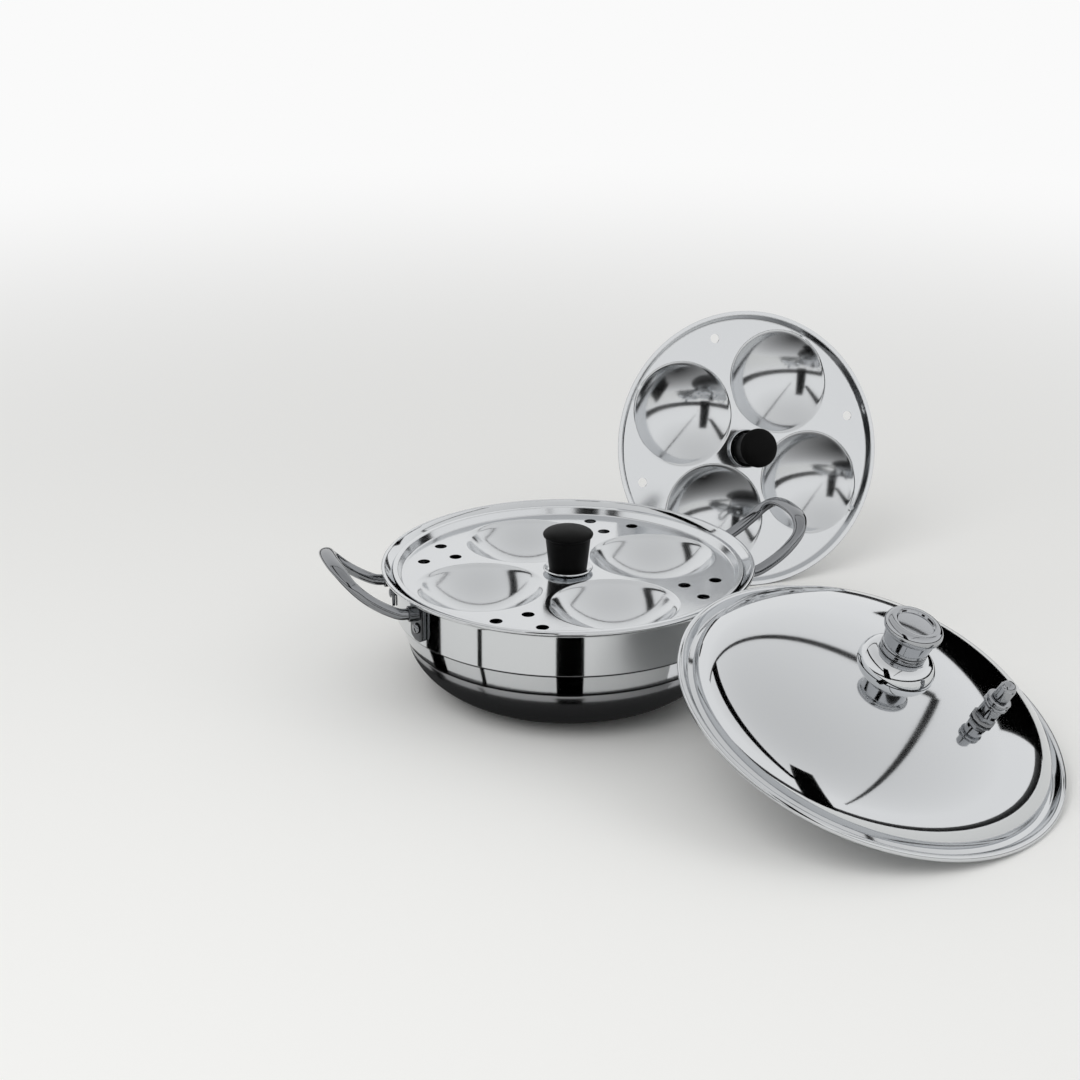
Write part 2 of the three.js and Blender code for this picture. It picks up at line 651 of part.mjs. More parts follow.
function lidKnobGroup() {
  const group = new THREE.Group();
  const hole = LID_SCREW_RADIUS + HOLE_GAP;
  const skirtSheet = 1.2;
  const skirtFoot = domeHeightAt(SKIRT_RADIUS, 0) + SEAT_GAP;
  const skirtTop = LID_HEIGHT + SKIRT_HEIGHT;
  const skirtSpan = [SKIRT_RADIUS - COLLAR_RADIUS - 0.5, skirtTop - skirtFoot];
  const skirtFlat = [COLLAR_RADIUS + 0.5, skirtFoot];
  const skirt = revolve(
    [
      ...arc(skirtFlat, skirtSpan, 0, 90, 5),
      [hole, skirtTop],
      [hole, skirtTop - skirtSheet],
      ...arc(skirtFlat, [skirtSpan[0] - skirtSheet, skirtSpan[1] - skirtSheet], 90, 0, 4),
    ],
    KNOB_SIDES,
  );
  const collarFoot = skirtTop + SEAT_GAP;
  const collar = ring(hole, COLLAR_RADIUS, collarFoot, collarFoot + COLLAR_HEIGHT, KNOB_SIDES);
  const foot = collarFoot + COLLAR_HEIGHT + SEAT_GAP;
  const top = foot + LID_KNOB_HEIGHT;
  const neckTop = foot + LID_KNOB_HEIGHT * 0.52;
  const headMiddle = foot + LID_KNOB_HEIGHT * 0.76;
  const screwEnd = foot + LID_KNOB_HEIGHT * 0.6;
  const dish = LID_KNOB_RADIUS * 0.66;
  const knob = revolve(
    [
      [0, screwEnd + SEAT_GAP],
      [hole, screwEnd + SEAT_GAP],
      [hole, foot],
      [LID_KNOB_NECK, foot],
      [LID_KNOB_NECK + 1.4, neckTop],
      ...arc([LID_KNOB_RADIUS - 3.6, headMiddle], [3.6, top - headMiddle], -60, 80, 5),
      [dish, top - 0.2],
      [dish - 0.8, top - 1.4],
      [0, top - 0.5],
    ],
    KNOB_SIDES,
  );
  const washerTop = LID_HEIGHT - LID_SHEET - SEAT_GAP;
  const washer = ring(hole, WASHER_RADIUS + 1, washerTop - WASHER_THICKNESS, washerTop);
  const headTop = washerTop - WASHER_THICKNESS - SEAT_GAP;
  const screw = revolve(
    [
      [0, headTop - SCREW_HEAD_HEIGHT],
      [SCREW_HEAD_RADIUS * 0.8, headTop - SCREW_HEAD_HEIGHT],
      [SCREW_HEAD_RADIUS * 1.1, headTop - SCREW_HEAD_HEIGHT / 2],
      [SCREW_HEAD_RADIUS * 1.1, headTop],
      [LID_SCREW_RADIUS, headTop],
      [LID_SCREW_RADIUS, screwEnd],
      [0, screwEnd],
    ],
    SMALL_SIDES,
  );
  group.add(named("lid_knob_skirt", skirt, steel));
  group.add(named("lid_knob_collar", collar, steel));
  group.add(named("lid_knob", knob, steel));
  group.add(named("lid_knob_washer", washer, steel));
  group.add(named("lid_knob_screw", screw, steel));
  return group;
}

// The vent and its whistle, in a frame whose Z is the dome's normal at the vent

function whistleGroup() {
  const group = new THREE.Group();
  group.applyMatrix4(ventFrame);
  const gasketFoot = 2 * SEAT_GAP;
  const hexFoot = gasketFoot + GASKET_THICKNESS + SEAT_GAP;
  const hexTop = hexFoot + VENT_HEX_HEIGHT;
  const nozzleTop = hexTop + VENT_NOZZLE_HEIGHT;
  const shankHole = VENT_SHANK + HOLE_GAP;
  const hex = ring(VENT_BORE, VENT_HEX, hexFoot, hexTop, 6);
  const tube = revolve(
    [
      [VENT_BORE, -VENT_THREAD],
      [VENT_SHANK, -VENT_THREAD],
      [VENT_SHANK, hexFoot + 0.5],
      [VENT_NOZZLE, hexTop + 0.6],
      [VENT_NOZZLE, nozzleTop],
      [VENT_BORE, nozzleTop],
    ],
    SMALL_SIDES,
  );
  const stem = tube.add(hex.subtract(rod(VENT_NOZZLE * 0.8, hexFoot - 1, hexTop + 1)));
  const gasket = ring(shankHole, VENT_HEX + 0.8, gasketFoot, gasketFoot + GASKET_THICKNESS);
  const nutTop = -LID_SHEET - 2 * SEAT_GAP;
  const nut = rod(NUT_HEX, nutTop - NUT_HEIGHT, nutTop, 6).subtract(rod(shankHole, -VENT_THREAD * 2, 0));

  const skirtFoot = hexTop + SEAT_GAP;
  const skirtTop = skirtFoot + WHISTLE_SKIRT_HEIGHT;
  const flangeTop = skirtTop + WHISTLE_FLANGE_HEIGHT;
  const boreTop = nozzleTop + SEAT_GAP + NEEDLE_HEAD + SEAT_GAP;
  const boreRadius = VENT_NOZZLE + HOLE_GAP + 0.1;
  const spigotTop = flangeTop + WHISTLE_CAP_HEIGHT / 2;
  const groove = WHISTLE_FLANGE - 0.9;
  let body = revolve(
    [
      [0, boreTop],
      [boreRadius, boreTop],
      [boreRadius, skirtFoot],
      [WHISTLE_SKIRT, skirtFoot],
      [WHISTLE_SKIRT, skirtTop - 0.6],
      [WHISTLE_SKIRT - 0.8, skirtTop],
      [WHISTLE_FLANGE, skirtTop + 0.5],
      [WHISTLE_FLANGE, skirtTop + WHISTLE_FLANGE_HEIGHT * 0.36],
      [groove, skirtTop + WHISTLE_FLANGE_HEIGHT * 0.45],
      [groove, skirtTop + WHISTLE_FLANGE_HEIGHT * 0.58],
      [WHISTLE_FLANGE, skirtTop + WHISTLE_FLANGE_HEIGHT * 0.68],
      [WHISTLE_FLANGE, flangeTop - 0.5],
      [WHISTLE_FLANGE - 0.6, flangeTop],
      [WHISTLE_SPIGOT, flangeTop],
      [WHISTLE_SPIGOT, spigotTop],
      [0, spigotTop],
    ],
    KNOB_SIDES - 2,
  );
  for (let i = 0; i < WHISTLE_NOTCHES / 2; i++) {
    const notch = box(4 * WHISTLE_SKIRT, NOTCH_WIDTH, 2 * NOTCH_HEIGHT, 0, 0, skirtFoot);
    body = body.subtract(turnedAboutZ(notch, 45 + (360 / WHISTLE_NOTCHES) * i));
  }
  const capFoot = flangeTop + SEAT_GAP;
  const capTop = capFoot + WHISTLE_CAP_HEIGHT;
  const capHollow = WHISTLE_SPIGOT + HOLE_GAP;
  const cap = revolve(
    [
      [0, spigotTop + SEAT_GAP],
      [capHollow, spigotTop + SEAT_GAP],
      [capHollow, capFoot],
      [WHISTLE_CAP, capFoot],
      [WHISTLE_CAP, capTop - WHISTLE_CAP * 0.8],
      [WHISTLE_CAP - 0.5, capTop - WHISTLE_CAP * 0.7],
      ...arc([0, capTop - WHISTLE_CAP * 0.7], [WHISTLE_CAP - 0.5, WHISTLE_CAP * 0.7], 20, 90, 3),
    ],
    KNOB_SIDES - 2,
  );
  const needleFoot = nozzleTop + SEAT_GAP;
  const needle = revolve(
    [
      [0, needleFoot - NEEDLE_LENGTH - 0.6],
      [NEEDLE_RADIUS, needleFoot - NEEDLE_LENGTH],
      [NEEDLE_RADIUS, needleFoot],
      [VENT_NOZZLE, needleFoot],
      [VENT_NOZZLE, needleFoot + NEEDLE_HEAD],
      [0, needleFoot + NEEDLE_HEAD],
    ],
    SMALL_SIDES,
  );
  group.add(named("vent_stem", stem, steel));
  group.add(named("vent_gasket", gasket, silicone));
  group.add(named("vent_nut", nut, steel));
  group.add(named("whistle_body", body, steel));
  group.add(named("whistle_cap", cap, steel));
  group.add(named("whistle_needle", needle, steel));
  return group;
}

// The lid stands on its bead and leans on the vessel's rolled edge.
function leanLid(group) {
  const contact = RIM_BEAD + LID_BEAD + SEAT_GAP;
  const highBead = rimBeadHeight + Math.sqrt(contact ** 2 - LID_NUDGE ** 2);
  const tilt = Math.asin((highBead - LID_BEAD) / (2 * lidBeadRadius));
  const height = lidBeadRadius * Math.sin(tilt) - LID_BEAD * Math.cos(tilt) + LID_BEAD;
  const distance = rimBeadRadius + LID_NUDGE + lidBeadRadius * Math.cos(tilt) - LID_BEAD * Math.sin(tilt);
  const azimuth = radians(LID_AZIMUTH);
  group.rotation.set(0, tilt, azimuth, "ZYX");
  group.position.set(distance * Math.cos(azimuth), distance * Math.sin(azimuth), height);
}

function lidGroup() {
  const group = new THREE.Group();
  group.add(named("lid_shell", lidShell(), steel));
  group.add(lidKnobGroup());
  group.add(whistleGroup());
  return group;
}

const upperPlate = plateGroup(UPPER_PLATE);
seatUpperPlate(upperPlate);
const lowerPlate = plateGroup(LOWER_PLATE);
standLowerPlate(lowerPlate);
const lid = lidGroup();
leanLid(lid);

const kadaiSet = new THREE.Group();
kadaiSet.add(vesselGroup(), upperPlate, lowerPlate, lid);

export default kadaiSet;
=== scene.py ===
"""The kadai set dressed for its picture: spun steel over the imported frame, black knobs, studio light.

Sizes are in millimetres, as the maker would give them, and become metres when a piece is finished.
"""

import math

import bmesh
import bpy
from mathutils import Matrix, Vector


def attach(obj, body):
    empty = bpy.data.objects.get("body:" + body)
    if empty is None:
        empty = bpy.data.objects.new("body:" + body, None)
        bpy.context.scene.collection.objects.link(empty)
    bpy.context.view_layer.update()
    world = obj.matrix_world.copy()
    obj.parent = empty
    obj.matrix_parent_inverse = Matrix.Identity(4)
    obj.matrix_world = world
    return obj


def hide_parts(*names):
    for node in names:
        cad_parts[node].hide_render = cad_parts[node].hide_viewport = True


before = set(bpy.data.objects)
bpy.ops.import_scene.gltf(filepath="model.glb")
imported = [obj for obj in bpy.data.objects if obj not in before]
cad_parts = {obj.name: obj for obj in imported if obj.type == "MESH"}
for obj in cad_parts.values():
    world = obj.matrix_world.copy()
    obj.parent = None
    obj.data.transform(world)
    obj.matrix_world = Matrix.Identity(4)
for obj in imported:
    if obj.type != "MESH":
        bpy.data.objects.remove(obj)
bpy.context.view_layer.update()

MM = 0.001
SEAT_GAP = 0.3  # between a piece and what it rests on
MERGE_DISTANCE = 1e-4  # under which two points are one
FULL_TURN = 2 * math.pi
ROUNDING_STEPS = 6
ROUNDING_SHARE = 0.48  # of a side that one corner may take
IDENTITY = Matrix.Identity(4)

# Vessel
VESSEL_HEIGHT = 76
VESSEL_SHEET = 1
BASE_RADIUS = 56
BOWL_HEIGHT = 32
BOWL_FULLNESS = 1.75
SHOULDER_RADIUS = 95.3
BAND_FOOT_RADIUS = 96.2
BAND_RADIUS = 100.5
WALL_RADIUS = 102
LINE_RISE = 1
LINE_ROUNDING = 0.8
LINE_CORNER = 0.5
UPPER_LINE_HEIGHT = 45.5
FLARE_HEIGHT = 71
FLARE_ROUNDING = 3
FLARE_INSIDE_LIFT = 0.3  # of its sheet, by which the bend's inside is higher
RIM_RADIUS = 110
RIM_BEAD = 1.2
WALL_SIDES = 40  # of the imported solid's wall, whose flats lie inside its circle

# Handles, lugs and rivets
HANDLE_ROD = 3.25
HANDLE_HALF_SPREAD = 28
HANDLE_HEIGHT = 66
HANDLE_RISE = 27
HANDLE_REACH = 43
GRIP_HALF_WIDTH = 4.6
GRIP_HALF_DEPTH = 2.6
GRIP_SHARE = 0.24  # of the rod's length, from its middle to where the grip has run out
GRIP_TAPER_SHARE = 0.168
LUG_THICKNESS = 1.8
LUG_HALF_WIDTH = 7.5
LUG_BOTTOM = 49
LUG_CORNER = 5
LUG_EDGE = 0.45
LUG_EDGE_ANGLE = 1  # radian, past which an edge is one of the tab's own
SOCKET_WALL = 1
SOCKET_RADIUS = HANDLE_ROD + SEAT_GAP + SOCKET_WALL
SOCKET_LENGTH = 4.6
SOCKET_ROUNDING = 0.6
SOCKET_MOUTH_ROUNDING = 0.3
RIVET_RADIUS = 2
RIVET_HEAD_RADIUS = 3.2
RIVET_HEAD_HEIGHT = 1.7
RIVET_HEAD_EDGE = 0.2
RIVET_TAIL_HEIGHT = 1
RIVET_ROUNDING = 0.3
RIVET_HEIGHT = 57
LUG_FACE = WALL_RADIUS + SEAT_GAP + LUG_THICKNESS
LUG_TURN = math.asin(HANDLE_HALF_SPREAD / WALL_RADIUS)
ARM_START = math.cos(LUG_TURN) * LUG_FACE + SEAT_GAP

# Steaming plates
PLATE_SHEET = 0.9
PLATE_EDGE_RISE = 4
PLATE_EDGE_WIDTH = 5.6
PLATE_EDGE_FOOT = 0.6  # from the flat to the foot of the edge's slope
PLATE_EDGE_HEAD = 2.8  # and to its head
PLATE_FOOT_ROUNDING = 1.4
PLATE_HEAD_ROUNDING = 1
PLATE_RIM_ROUNDING = 0.8
PLATE_RIM_DROP = 0.3  # to the turned-down end of the edge, under its rise
PLATE_RIM_TURN = 0.1  # by which that end lies further in
PLATE_WEB_MARGIN = 1  # of flat that is spun with the edge
CUP_STEPS = 26
CUP_LIP_STEPS = 10
UPPER_PLATE = {
    "name": "upper",
    "radius": 103.2,
    "cup_radius": 36.533,
    "cup_depth": 17,
    "cup_pitch": 56.966,
    "cup_lip": 2.0,
    "turn": 8,
    "hole_radius": 3.7,
    "holes": [(87.204, 36), (87.204, 54), (71.208, 45)],
    "knob_top": 14.8,
    "knob_base": 11.2,
    "knob_height": 26,
}
LOWER_PLATE = {
    "name": "lower",
    "radius": 91.95,
    "cup_radius": 34.04,
    "cup_depth": 16,
    "cup_pitch": 50.6,
    "cup_lip": 1.4,
    "turn": 58,
    "hole_radius": 3.1,
    "holes": [(76.82, 44)],
    "knob_top": 13,
    "knob_base": 10,
    "knob_height": 25,
}
UPPER_PLATE_PLACE = Matrix.Translation((0, 0, 69.19))
LOWER_PLATE_PLACE = (
    Matrix.Translation((172.5, 135.5, 86.261))
    @ Matrix.Rotation(math.radians(-91.5), 4, "Z")
    @ Matrix.Rotation(math.radians(72), 4, "Y")
)
KNOB_BORE_RADIUS = 5.3
KNOB_INSERT_LENGTH = 14
KNOB_CAP_HEIGHT = 6
KNOB_CAP_STEP = 1.4  # by which the cap stands out over the stem
KNOB_CAP_EDGE = 0.3
KNOB_CAP_EDGE_RISE = 0.6
KNOB_DOME_RISE = 1.6
KNOB_FOOT_ROUNDING = 0.8
KNOB_CAP_ROUNDING = 0.5
FERRULE_SHEET = 1
FERRULE_RISE = 2.2
FERRULE_MARGIN = 1
FERRULE_BEND = 1.2
FERRULE_BEND_SHIFT = 0.4  # by which the bend's upper face lies further in
FERRULE_EDGE = 0.5
FERRULE_EDGE_RISE = 0.7
FERRULE_EDGE_ROUNDING = 0.3
SCREW_HOLE = 2.3

# Lid, knob and vent
LID_SHEET = 0.9
LID_RADIUS = 109.4
LID_BEAD = 1.9
LID_HEIGHT = 36
DOME_RADIUS = 100.5
DOME_FOOT = 1
DOME_FULLNESS = 2.4
DOME_SHOULDER = 0.5
LID_GROOVE_DEPTH = 1.1
LID_GROOVE_ROUNDING = 0.9
LID_UNDERSIDE_ROUNDING = 0.6
LID_UNDERSIDE_WIDTH = 0.8  # of its sheet, to each side of the groove's middle
LID_PLACE = (
    Matrix.Translation((111.047, -177.713, 38.225))
    @ Matrix.Rotation(math.radians(-58), 4, "Z")
    @ Matrix.Rotation(math.radians(20.7389), 4, "Y")
)
SKIRT_RADIUS = 21
SKIRT_HEIGHT = 9
SKIRT_SHEET = 1.2
SKIRT_LEDGE = 0.5  # of flat top round the collar
COLLAR_RADIUS = 12.7
COLLAR_HEIGHT = 3
COLLAR_ROUNDING = 0.4
LID_KNOB_RADIUS = 16
LID_KNOB_NECK = 12.4
LID_KNOB_HEIGHT = 16.5
LID_KNOB_FLARE = 1.4  # of its neck, up to the head
LID_KNOB_FOOT_ROUNDING = 0.4
LID_KNOB_NECK_ROUNDING = 2
LID_KNOB_ROLL = 3.6
LID_KNOB_NECK_SHARE = 0.52  # of its height, as the next two are
LID_KNOB_BORE_SHARE = 0.6
LID_KNOB_ROLL_SHARE = 0.76
LID_KNOB_DISH_SHARE = 0.66  # of its radius
LID_KNOB_DISH_DEPTH = 1.4
LID_KNOB_DISH_SLOPE = 0.8
LID_KNOB_DISH_RIM = 0.2
LID_KNOB_DISH_RIM_ROUNDING = 0.4
LID_KNOB_DISH_FOOT_ROUNDING = 0.5
LID_KNOB_DISH_MIDDLE = 0.5
LID_SCREW_HOLE = 2.8
VENT_RADIUS = 52
VENT_TURN = 13
VENT_HEX_TOP = 4.7
VENT_NOZZLE_TOP = 11.7
WHISTLE_SKIRT = 5.6
WHISTLE_SKIRT_HEIGHT = 6.4
WHISTLE_FLANGE = 6.8
WHISTLE_FLANGE_HEIGHT = 5.4
WHISTLE_CAP = 4.5
WHISTLE_CAP_HEIGHT = 11
WHISTLE_CAP_STEP = 0.5
WHISTLE_SPIGOT = 2.6
WHISTLE_BORE = 2.6
WHISTLE_BORE_ROOM = 1.4  # over the nozzle
WHISTLE_ROUNDING = 0.3
WHISTLE_GROOVE = 0.9
WHISTLE_GROOVE_SHARES = (0.36, 0.45, 0.58, 0.68)  # of the flange's height, up the groove's two slopes
WHISTLE_NECK = 0.8  # in from the skirt, under the flange
WHISTLE_NECK_DROP = 0.6
WHISTLE_FLANGE_EDGE = 0.5
WHISTLE_FLANGE_BEVEL = 0.6
WHISTLE_CAP_SHARES = (0.8, 0.7)  # of its radius, from the tip down to the step and the dome's foot
NOTCH_WIDTH = 2.6
NOTCH_HEIGHT = 1.8


def dome_height(radius, sheet):
    """The dome's height over a radius, on its outside or a sheet's thickness in."""
    share = min(1.0, radius / (DOME_RADIUS - sheet))
    return DOME_FOOT + (LID_HEIGHT - DOME_FOOT - sheet) * (1 - share**DOME_FULLNESS) ** DOME_SHOULDER


def vent_place():
    """Where the vent stands on the dome, square to its slope."""
    step = 0.01
    fall = dome_height(VENT_RADIUS - step, 0) - dome_height(VENT_RADIUS + step, 0)
    slope = math.atan(fall / (2 * step))
    return (
        LID_PLACE
        @ Matrix.Rotation(math.radians(VENT_TURN), 4, "Z")
        @ Matrix.Translation((VENT_RADIUS, 0, dome_height(VENT_RADIUS, 0)))
        @ Matrix.Rotation(slope, 4, "Y")
    )


# Materials

STEEL = "#d6d8da"
# Colour of the lower bowl, painted darker as shade
PAINTED_SHADE_STEEL = "#9a9b9d"
# Colour of the shade painted into the pressed lines and under the flare
CREASE_PAINTED_SHADE = "#1c1c1d"
SMEAR_SIZE = 22
SMEAR_SHARES = (0.7, 1.35)  # of the roughness, where the cloth smeared least and most
RING_STRENGTH = 0.12
SATIN_DULL = 0.12
SATIN_AND_SHADE_EDGE = 0.4
CREASE_SHADE_HALF_WIDTH = 0.5
CREASE_SHADE_FADE = 1.1
TOOL_MARK = 0.6
TOOL_MARK_SHARES = (0.8, 1.3)
MOULD_GRAIN = 0.7
MOULD_GRAIN_DEPTH = 0.03
MOULD_GRAIN_STRENGTH = 0.15
MOULD_CLOUD = 9
MOULD_CLOUD_SHARES = (0.85, 1.2)


def linear(hex_colour):
    """An sRGB hex colour as the linear RGBA that shaders take."""
    channels = [int(hex_colour[i : i + 2], 16) / 255 for i in (1, 3, 5)]
    return [c / 12.92 if c <= 0.04045 else ((c + 0.055) / 1.055) ** 2.4 for c in channels] + [1]


def add(tree, kind, settings=None, **inputs):
    """Adds a node. An input is a value or the socket that feeds it, given by name or as i and a number."""
    node = tree.nodes.new(kind)
    for key, value in (settings or {}).items():
        setattr(node, key, value)
    for key, value in inputs.items():
        number = key[1:] if key[0] == "i" else ""
        socket = node.inputs[int(number) if number.isdigit() else key.replace("_", " ")]
        if isinstance(value, bpy.types.NodeSocket):
            tree.links.new(value, socket)
        else:
            socket.default_value = value
    return node


def new_material(name):
    """An empty node material and its tree."""
    material = bpy.data.materials.new(name)
    material.use_nodes = True
    material.node_tree.nodes.clear()
    return material, material.node_tree


def spun_steel(
    name, place, roughness, ring_width, ring_depth=0.01, colour=STEEL, satin_and_shade_below=None, creases=()
):
    """Stainless steel spun on a lathe and buffed: a mirror with rings about its axis and cloth smears.

    The rings are drawn coarser than real tool marks, so that they show.
    Under a given height, in millimetres, the buffing stops and the steel stays satin, its colour painted
    darker as shade for the dark it mirrors there.
    At the heights of the creases, thin dark lines are painted in as shade in the pressed lines.
    """
    material, tree = new_material(name)
    where = add(tree, "ShaderNodeTexCoord").outputs["Object"]
    local = add(
        tree,
        "ShaderNodeMapping",
        {"vector_type": "TEXTURE"},
        Vector=where,
        Location=[c * MM for c in place.translation],
        Rotation=place.to_euler(),
    ).outputs[0]
    axes = add(tree, "ShaderNodeSeparateXYZ", Vector=local)
    flat = add(tree, "ShaderNodeCombineXYZ", X=axes.outputs["X"], Y=axes.outputs["Y"])
    radius = add(tree, "ShaderNodeVectorMath", {"operation": "LENGTH"}, i0=flat.outputs[0]).outputs["Value"]
    along = add(tree, "ShaderNodeCombineXYZ", X=radius, Y=axes.outputs["Z"]).outputs[0]
    rings = add(tree, "ShaderNodeTexNoise", Vector=along, Scale=1 / (ring_width * MM), Detail=2.0)
    smears = add(tree, "ShaderNodeTexNoise", Vector=local, Scale=1 / (SMEAR_SIZE * MM), Detail=4.0)
    bump = add(
        tree,
        "ShaderNodeBump",
        Strength=RING_STRENGTH,
        Distance=ring_depth * MM,
        Height=rings.outputs["Fac"],
    )
    shine = add(
        tree,
        "ShaderNodeMapRange",
        Value=smears.outputs["Fac"],
        To_Min=roughness * SMEAR_SHARES[0],
        To_Max=roughness * SMEAR_SHARES[1],
    ).outputs[0]
    shader = add(
        tree,
        "ShaderNodeBsdfPrincipled",
        Base_Color=linear(colour),
        Metallic=1.0,
        Roughness=shine,
        Normal=bump.outputs[0],
    )
    # Under the given height the steel turns rougher, and its colour is painted darker as shade
    if satin_and_shade_below:
        top = satin_and_shade_below * MM
        height = axes.outputs["Z"]
        satin_and_shade = add(
            tree,
            "ShaderNodeMapRange",
            Value=height,
            From_Min=top - SATIN_AND_SHADE_EDGE * MM,
            From_Max=top,
            To_Min=1.0,
            To_Max=0.0,
        ).outputs[0]
        shaded_colour = add(
            tree,
            "ShaderNodeMix",
            {"data_type": "RGBA"},
            i0=satin_and_shade,
            i6=linear(colour),
            i7=linear(PAINTED_SHADE_STEEL),
        )
        dull = add(tree, "ShaderNodeMath", {"operation": "MULTIPLY_ADD"}, i0=satin_and_shade, i1=SATIN_DULL, i2=shine)
        # A thin dark line painted as shade along each crease
        for crease in creases:
            above = add(tree, "ShaderNodeMath", {"operation": "SUBTRACT"}, i0=height, i1=crease * MM)
            apart = add(tree, "ShaderNodeMath", {"operation": "ABSOLUTE"}, i0=above.outputs[0])
            crease_shade = add(
                tree,
                "ShaderNodeMapRange",
                Value=apart.outputs[0],
                From_Min=CREASE_SHADE_HALF_WIDTH * MM,
                From_Max=CREASE_SHADE_FADE * MM,
                To_Min=1.0,
                To_Max=0.0,
            )
            shaded_colour = add(
                tree,
                "ShaderNodeMix",
                {"data_type": "RGBA"},
                i0=crease_shade.outputs[0],
                i6=shaded_colour.outputs[2],
                i7=linear(CREASE_PAINTED_SHADE),
            )
        tree.links.new(shaded_colour.outputs[2], shader.inputs["Base Color"])
        tree.links.new(dull.outputs[0], shader.inputs["Roughness"])
    add(tree, "ShaderNodeOutputMaterial", Surface=shader.outputs[0])
    return material


def plain_metal(name, colour, roughness):
    """Bar-turned metal off the tool: a dull sheen broken by fine marks."""
    material, tree = new_material(name)
    where = add(tree, "ShaderNodeTexCoord").outputs["Object"]
    marks = add(tree, "ShaderNodeTexNoise", Vector=where, Scale=1 / (TOOL_MARK * MM), Detail=3.0)
    sheen = add(
        tree,
        "ShaderNodeMapRange",
        Value=marks.outputs["Fac"],
        To_Min=roughness * TOOL_MARK_SHARES[0],
        To_Max=roughness * TOOL_MARK_SHARES[1],
    )
    shader = add(
        tree,
        "ShaderNodeBsdfPrincipled",
        Base_Color=linear(colour),
        Metallic=1.0,
        Roughness=sheen.outputs[0],
    )
    add(tree, "ShaderNodeOutputMaterial", Surface=shader.outputs[0])
    return material


def moulded(name, colour, worn_colour, roughness, ior, specular):
    """A moulded resin or rubber: near-even colour, with a faint grain that breaks up its sheen."""
    material, tree = new_material(name)
    where = add(tree, "ShaderNodeTexCoord").outputs["Object"]
    grain = add(tree, "ShaderNodeTexNoise", Vector=where, Scale=1 / (MOULD_GRAIN * MM), Detail=3.0)
    cloud = add(tree, "ShaderNodeTexNoise", Vector=where, Scale=1 / (MOULD_CLOUD * MM), Detail=3.0)
    shade = add(
        tree,
        "ShaderNodeMix",
        {"data_type": "RGBA"},
        i0=cloud.outputs["Fac"],
        i6=linear(colour),
        i7=linear(worn_colour),
    ).outputs[2]
    sheen = add(
        tree,
        "ShaderNodeMapRange",
        Value=cloud.outputs["Fac"],
        To_Min=roughness * MOULD_CLOUD_SHARES[0],
        To_Max=roughness * MOULD_CLOUD_SHARES[1],
    )
    bump = add(
        tree,
        "ShaderNodeBump",
        Strength=MOULD_GRAIN_STRENGTH,
        Distance=MOULD_GRAIN_DEPTH * MM,
        Height=grain.outputs["Fac"],
    )
    shader = add(
        tree,
        "ShaderNodeBsdfPrincipled",
        Base_Color=shade,
        Roughness=sheen.outputs[0],
        IOR=ior,
        Specular_IOR_Level=specular,
        Normal=bump.outputs[0],
    )
    add(tree, "ShaderNodeOutputMaterial", Surface=shader.outputs[0])
    return material


# Painted shade lines, part-way up each pressed line and where the flare leaves the wall
VESSEL_CREASES = (UPPER_LINE_HEIGHT + 0.5 * LINE_RISE, BOWL_HEIGHT + 0.6 * LINE_RISE, FLARE_HEIGHT)

# Buffed to a mirror above the lower pressed line, and left satin below it, where its colour is painted
# darker as shade
vessel_steel = spun_steel(
    "spun_vessel_steel",
    IDENTITY,
    roughness=0.07,
    ring_width=0.7,
    ring_depth=0.012,
    satin_and_shade_below=BOWL_HEIGHT,
    creases=VESSEL_CREASES,
)
# The brightest mirror of the set
lid_steel = spun_steel("spun_lid_steel", LID_PLACE, roughness=0.06, ring_width=0.7, ring_depth=0.012)
# Pressed after buffing, which softens what the cups mirror
upper_plate_steel = spun_steel(
    "pressed_upper_plate_steel", UPPER_PLATE_PLACE, roughness=0.13, ring_width=0.9, ring_depth=0.012
)
lower_plate_steel = spun_steel(
    "pressed_lower_plate_steel", LOWER_PLATE_PLACE, roughness=0.13, ring_width=0.9, ring_depth=0.012
)
# Bent rod and tab, less buffed than the sheet, and darker in colour than it as painted shade for the dark
# they mirror
rod_steel_painted_dark = spun_steel("buffed_rod_steel_painted_dark", IDENTITY, roughness=0.1, ring_width=1.1, colour="#8c8e91")
lug_steel_painted_dark = spun_steel("pressed_lug_steel_painted_dark", IDENTITY, roughness=0.14, ring_width=1.1, colour="#5c5e61")
# Turned from bar, a shade darker than the lid they stand on
whistle_steel = spun_steel(
    "turned_whistle_steel", vent_place(), roughness=0.1, ring_width=0.5, colour="#a2a4a7"
)
knob_steel = spun_steel("turned_knob_steel", LID_PLACE, roughness=0.07, ring_width=0.6, colour="#b0b2b5")
# Screws, washers and nuts with a dull grey sheen, and yellow inserts
fastener_steel = plain_metal("turned_fastener_steel", "#a4a6a8", roughness=0.34)
insert_brass = plain_metal("turned_brass", "#b08d45", roughness=0.32)
# Deep black with hardly a highlight, and a soft grey seal
bakelite = moulded("black_bakelite", "#020202", "#050505", roughness=0.44, ior=1.5, specular=0.1)
silicone = moulded("grey_silicone", "#8b8d8e", "#95979a", roughness=0.6, ior=1.42, specular=0.5)


# Shaping


def arc(centre, radii, start, end, steps):
    """Points along an arc of an ellipse, ends included, in degrees."""
    angles = [math.radians(start + (end - start) * i / steps) for i in range(steps + 1)]
    return [(centre[0] + radii[0] * math.cos(a), centre[1] + radii[1] * math.sin(a)) for a in angles]


def bend(first, corner, last, steps):
    """Points along a curve from one point to another, round the corner between them."""
    shares = [k / steps for k in range(steps + 1)]
    return [first * (1 - t) ** 2 + corner * (2 * t * (1 - t)) + last * t**2 for t in shares]


